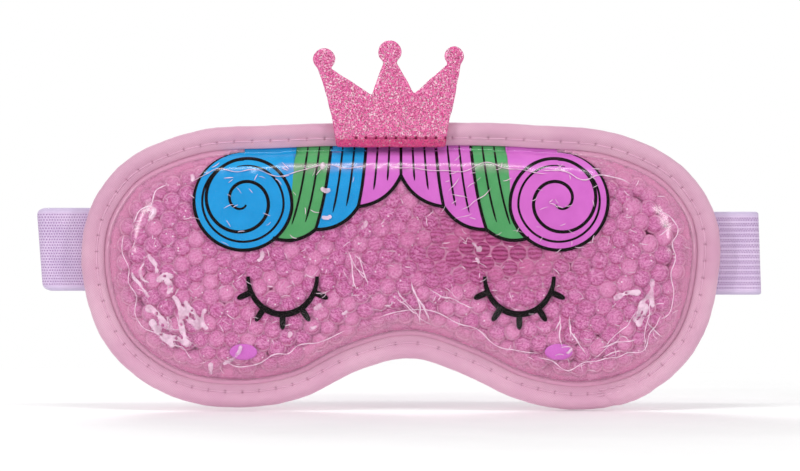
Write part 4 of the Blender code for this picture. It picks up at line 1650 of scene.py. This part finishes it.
def hook_material():
    """Stiff woven nylon hook tape."""
    nodes = Nodes("hook_nylon")
    weave = nodes.bands(nodes.place(), 0.9, "X", Distortion=0.4)
    colour = nodes.ramp(weave, (0.2, 200, 178, 212), (0.8, 226, 208, 232))
    return nodes.plain(Base_Color=colour, Roughness=0.5, Normal=nodes.bump(weave, 0.1, 0.7))


# -------------------------------------------------------------------- back

BACK_EDGE_INSET = 2.3


def lump(spots):
    """Soft unevenness where the beads press on the cloth."""
    x, z = spots[:, 0], spots[:, 1]
    return (0.5 * np.sin(x / 9 + 0.7 * np.sin(z / 7)) * np.cos(z / 8 + 0.4)
            + 0.28 * np.sin(x / 4.1 + 1.3) * np.sin(z / 3.7 + x / 11)
            + 0.14 * np.sin(x / 1.9 + z / 2.7) * np.cos(z / 2.1 - x / 5))


def make_back():
    """The backing cloth: level under the straps, softly uneven, its edge
    puckered towards the tape."""
    loop = RIM.at(np.arange(0, RIM.length, 1.5), BACK_EDGE_INSET)

    def back(spots, apart):
        inset = apart + BACK_EDGE_INSET
        flat = np.interp(inset, (2.0, 9.0, 15.5), (-2.05, -1.95, -0.18))
        angle = np.arctan2(spots[:, 1], spots[:, 0] * 0.45)
        pucker = 0.16 * np.sin(angle * 46) * np.exp(-((inset - 8.5) / 2.6) ** 2)
        return flat + lump(spots) * 0.22 * np.clip((inset - 10) / 8, 0, 1) + pucker

    def front(spots, apart):
        flat = np.interp(apart + BACK_EDGE_INSET, (2, 9, 15.5), (-3.0, -3.0, -1.05))
        return np.minimum(back(spots, apart) - 0.7, flat)

    item = sheet("back_cloth", loop, 1.7, front, back,
                 [cloth_material("backing_cloth", (196, 96, 148), (230, 150, 188))], (1.5,))
    attach(item, "pad", "pink_cloth", "back_panel")


# ------------------------------------------------------------------ stage

def make_stage():
    """A pale floor under the mask."""
    bpy.ops.mesh.primitive_plane_add(size=3.0, location=(0, 0, CAD_BOUNDS[0][2] - 0.0005))
    floor = bpy.context.object
    floor.name = "floor"
    nodes = Nodes("pale_floor")
    pale = nodes.ramp(nodes.noise(nodes.place(), 0.02, 2.0), (0.3, 0.93), (0.7, 0.97))
    plain = nodes.principled(Base_Color=pale, Roughness=0.9, Specular_IOR_Level=0.1)
    away = nodes.add("VectorMath", {0: nodes.add("TexCoord").outputs["Object"]},
                     operation="LENGTH").outputs["Value"]
    clear = nodes.add("BsdfTransparent").outputs[0]
    floor.data.materials.append(nodes.finish(
        nodes.blend(nodes.remap(away, 0.10, 0.32), plain, clear)))


def add_softbox(name, place, size, power):
    """A rectangular soft light that faces the mask."""
    light = bpy.data.lights.new(name, "AREA")
    light.shape = "RECTANGLE"
    light.size, light.size_y = size
    light.energy = power
    item = bpy.data.objects.new(name, light)
    item.location = place
    item.rotation_euler = (-Vector(place)).to_track_quat("-Z", "Y").to_euler()
    bpy.context.scene.collection.objects.link(item)


def make_lights():
    """Soft studio light and a white surround."""
    for word, place, size, power in (("left", (-0.75, -0.7, 0.35), (0.12, 0.5), 3.6),
                                     ("right", (0.8, -0.65, 0.3), (0.12, 0.5), 3.0),
                                     ("top", (0.0, -0.45, 0.9), (0.5, 0.08), 2.0),
                                     ("back", (-0.3, 0.9, 0.5), (0.5, 0.5), 5.0)):
        add_softbox("softbox_" + word, place, size, power)
    world = bpy.data.worlds.new("surround")
    bpy.context.scene.world = world
    world.use_nodes = True
    tree = world.node_tree
    background = tree.nodes["Background"]
    background.inputs["Color"].default_value = (1, 1, 1, 1)
    path = tree.nodes.new("ShaderNodeLightPath")
    # The mask is lit at 0.6, mirrors the surround at 0.25 and stands before 1.
    mirrored_light, strength = [tree.nodes.new("ShaderNodeMapRange") for _ in range(2)]
    mirrored_light.inputs["To Min"].default_value = 0.6
    mirrored_light.inputs["To Max"].default_value = 0.25
    strength.inputs["To Max"].default_value = 1.0
    tree.links.new(path.outputs["Is Glossy Ray"], mirrored_light.inputs["Value"])
    tree.links.new(mirrored_light.outputs["Result"], strength.inputs["To Min"])
    tree.links.new(path.outputs["Is Camera Ray"], strength.inputs["Value"])
    tree.links.new(strength.outputs["Result"], background.inputs["Strength"])


def make_camera():
    """A long lens square on to the mask, framed as 800 by 471."""
    width = 244.0 * MM
    distance = 0.9
    camera = bpy.data.cameras.new("camera")
    camera.sensor_width = 36.0
    camera.lens = camera.sensor_width * distance / width
    item = bpy.data.objects.new("camera", camera)
    item.location = (-0.3 * MM, -distance - 10 * MM, 9.46 * MM)
    item.rotation_euler = (math.radians(90), 0, 0)
    bpy.context.scene.collection.objects.link(item)
    bpy.context.scene.camera = item
    bpy.context.scene.view_settings.view_transform = "Standard"


# ------------------------------------------------------------------- build

binding_low, binding_high = box_mm("edge_binding")
tape_loops = flat_face_loops("edge_binding", binding_low[1])
TAPE_FOLD = binding_high[0] - tape_loops[0][:, 0].max()
RIM = Outline(tape_loops[0], TAPE_FOLD)
film_low, film_high = box_mm("front_film")
FLANGE_DEPTH = film_high[1] - CAD_FILM_THICKNESS
FILM_BULGE = FLANGE_DEPTH - film_low[1]

bead_centres, bead_radii, bead_shares = pack_beads()
make_beads(bead_centres, bead_radii, bead_shares)
film = FilmSurface(bead_centres, bead_radii * bead_shares)
make_front_film(film)
film_creases(film)
make_print(film)
make_binding()
make_crown()
make_straps()
make_back()
# The cloth under the front film gets much paler colours than the bare back cloth: painted light
# lifting the shade there.
back_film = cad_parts["back_film"]
back_film.material_slots[0].material = cloth_material("film_on_cloth_painted_light", (244, 184, 216),
                                                      (254, 214, 236), 0.3)

make_stage()
make_lights()
make_camera()
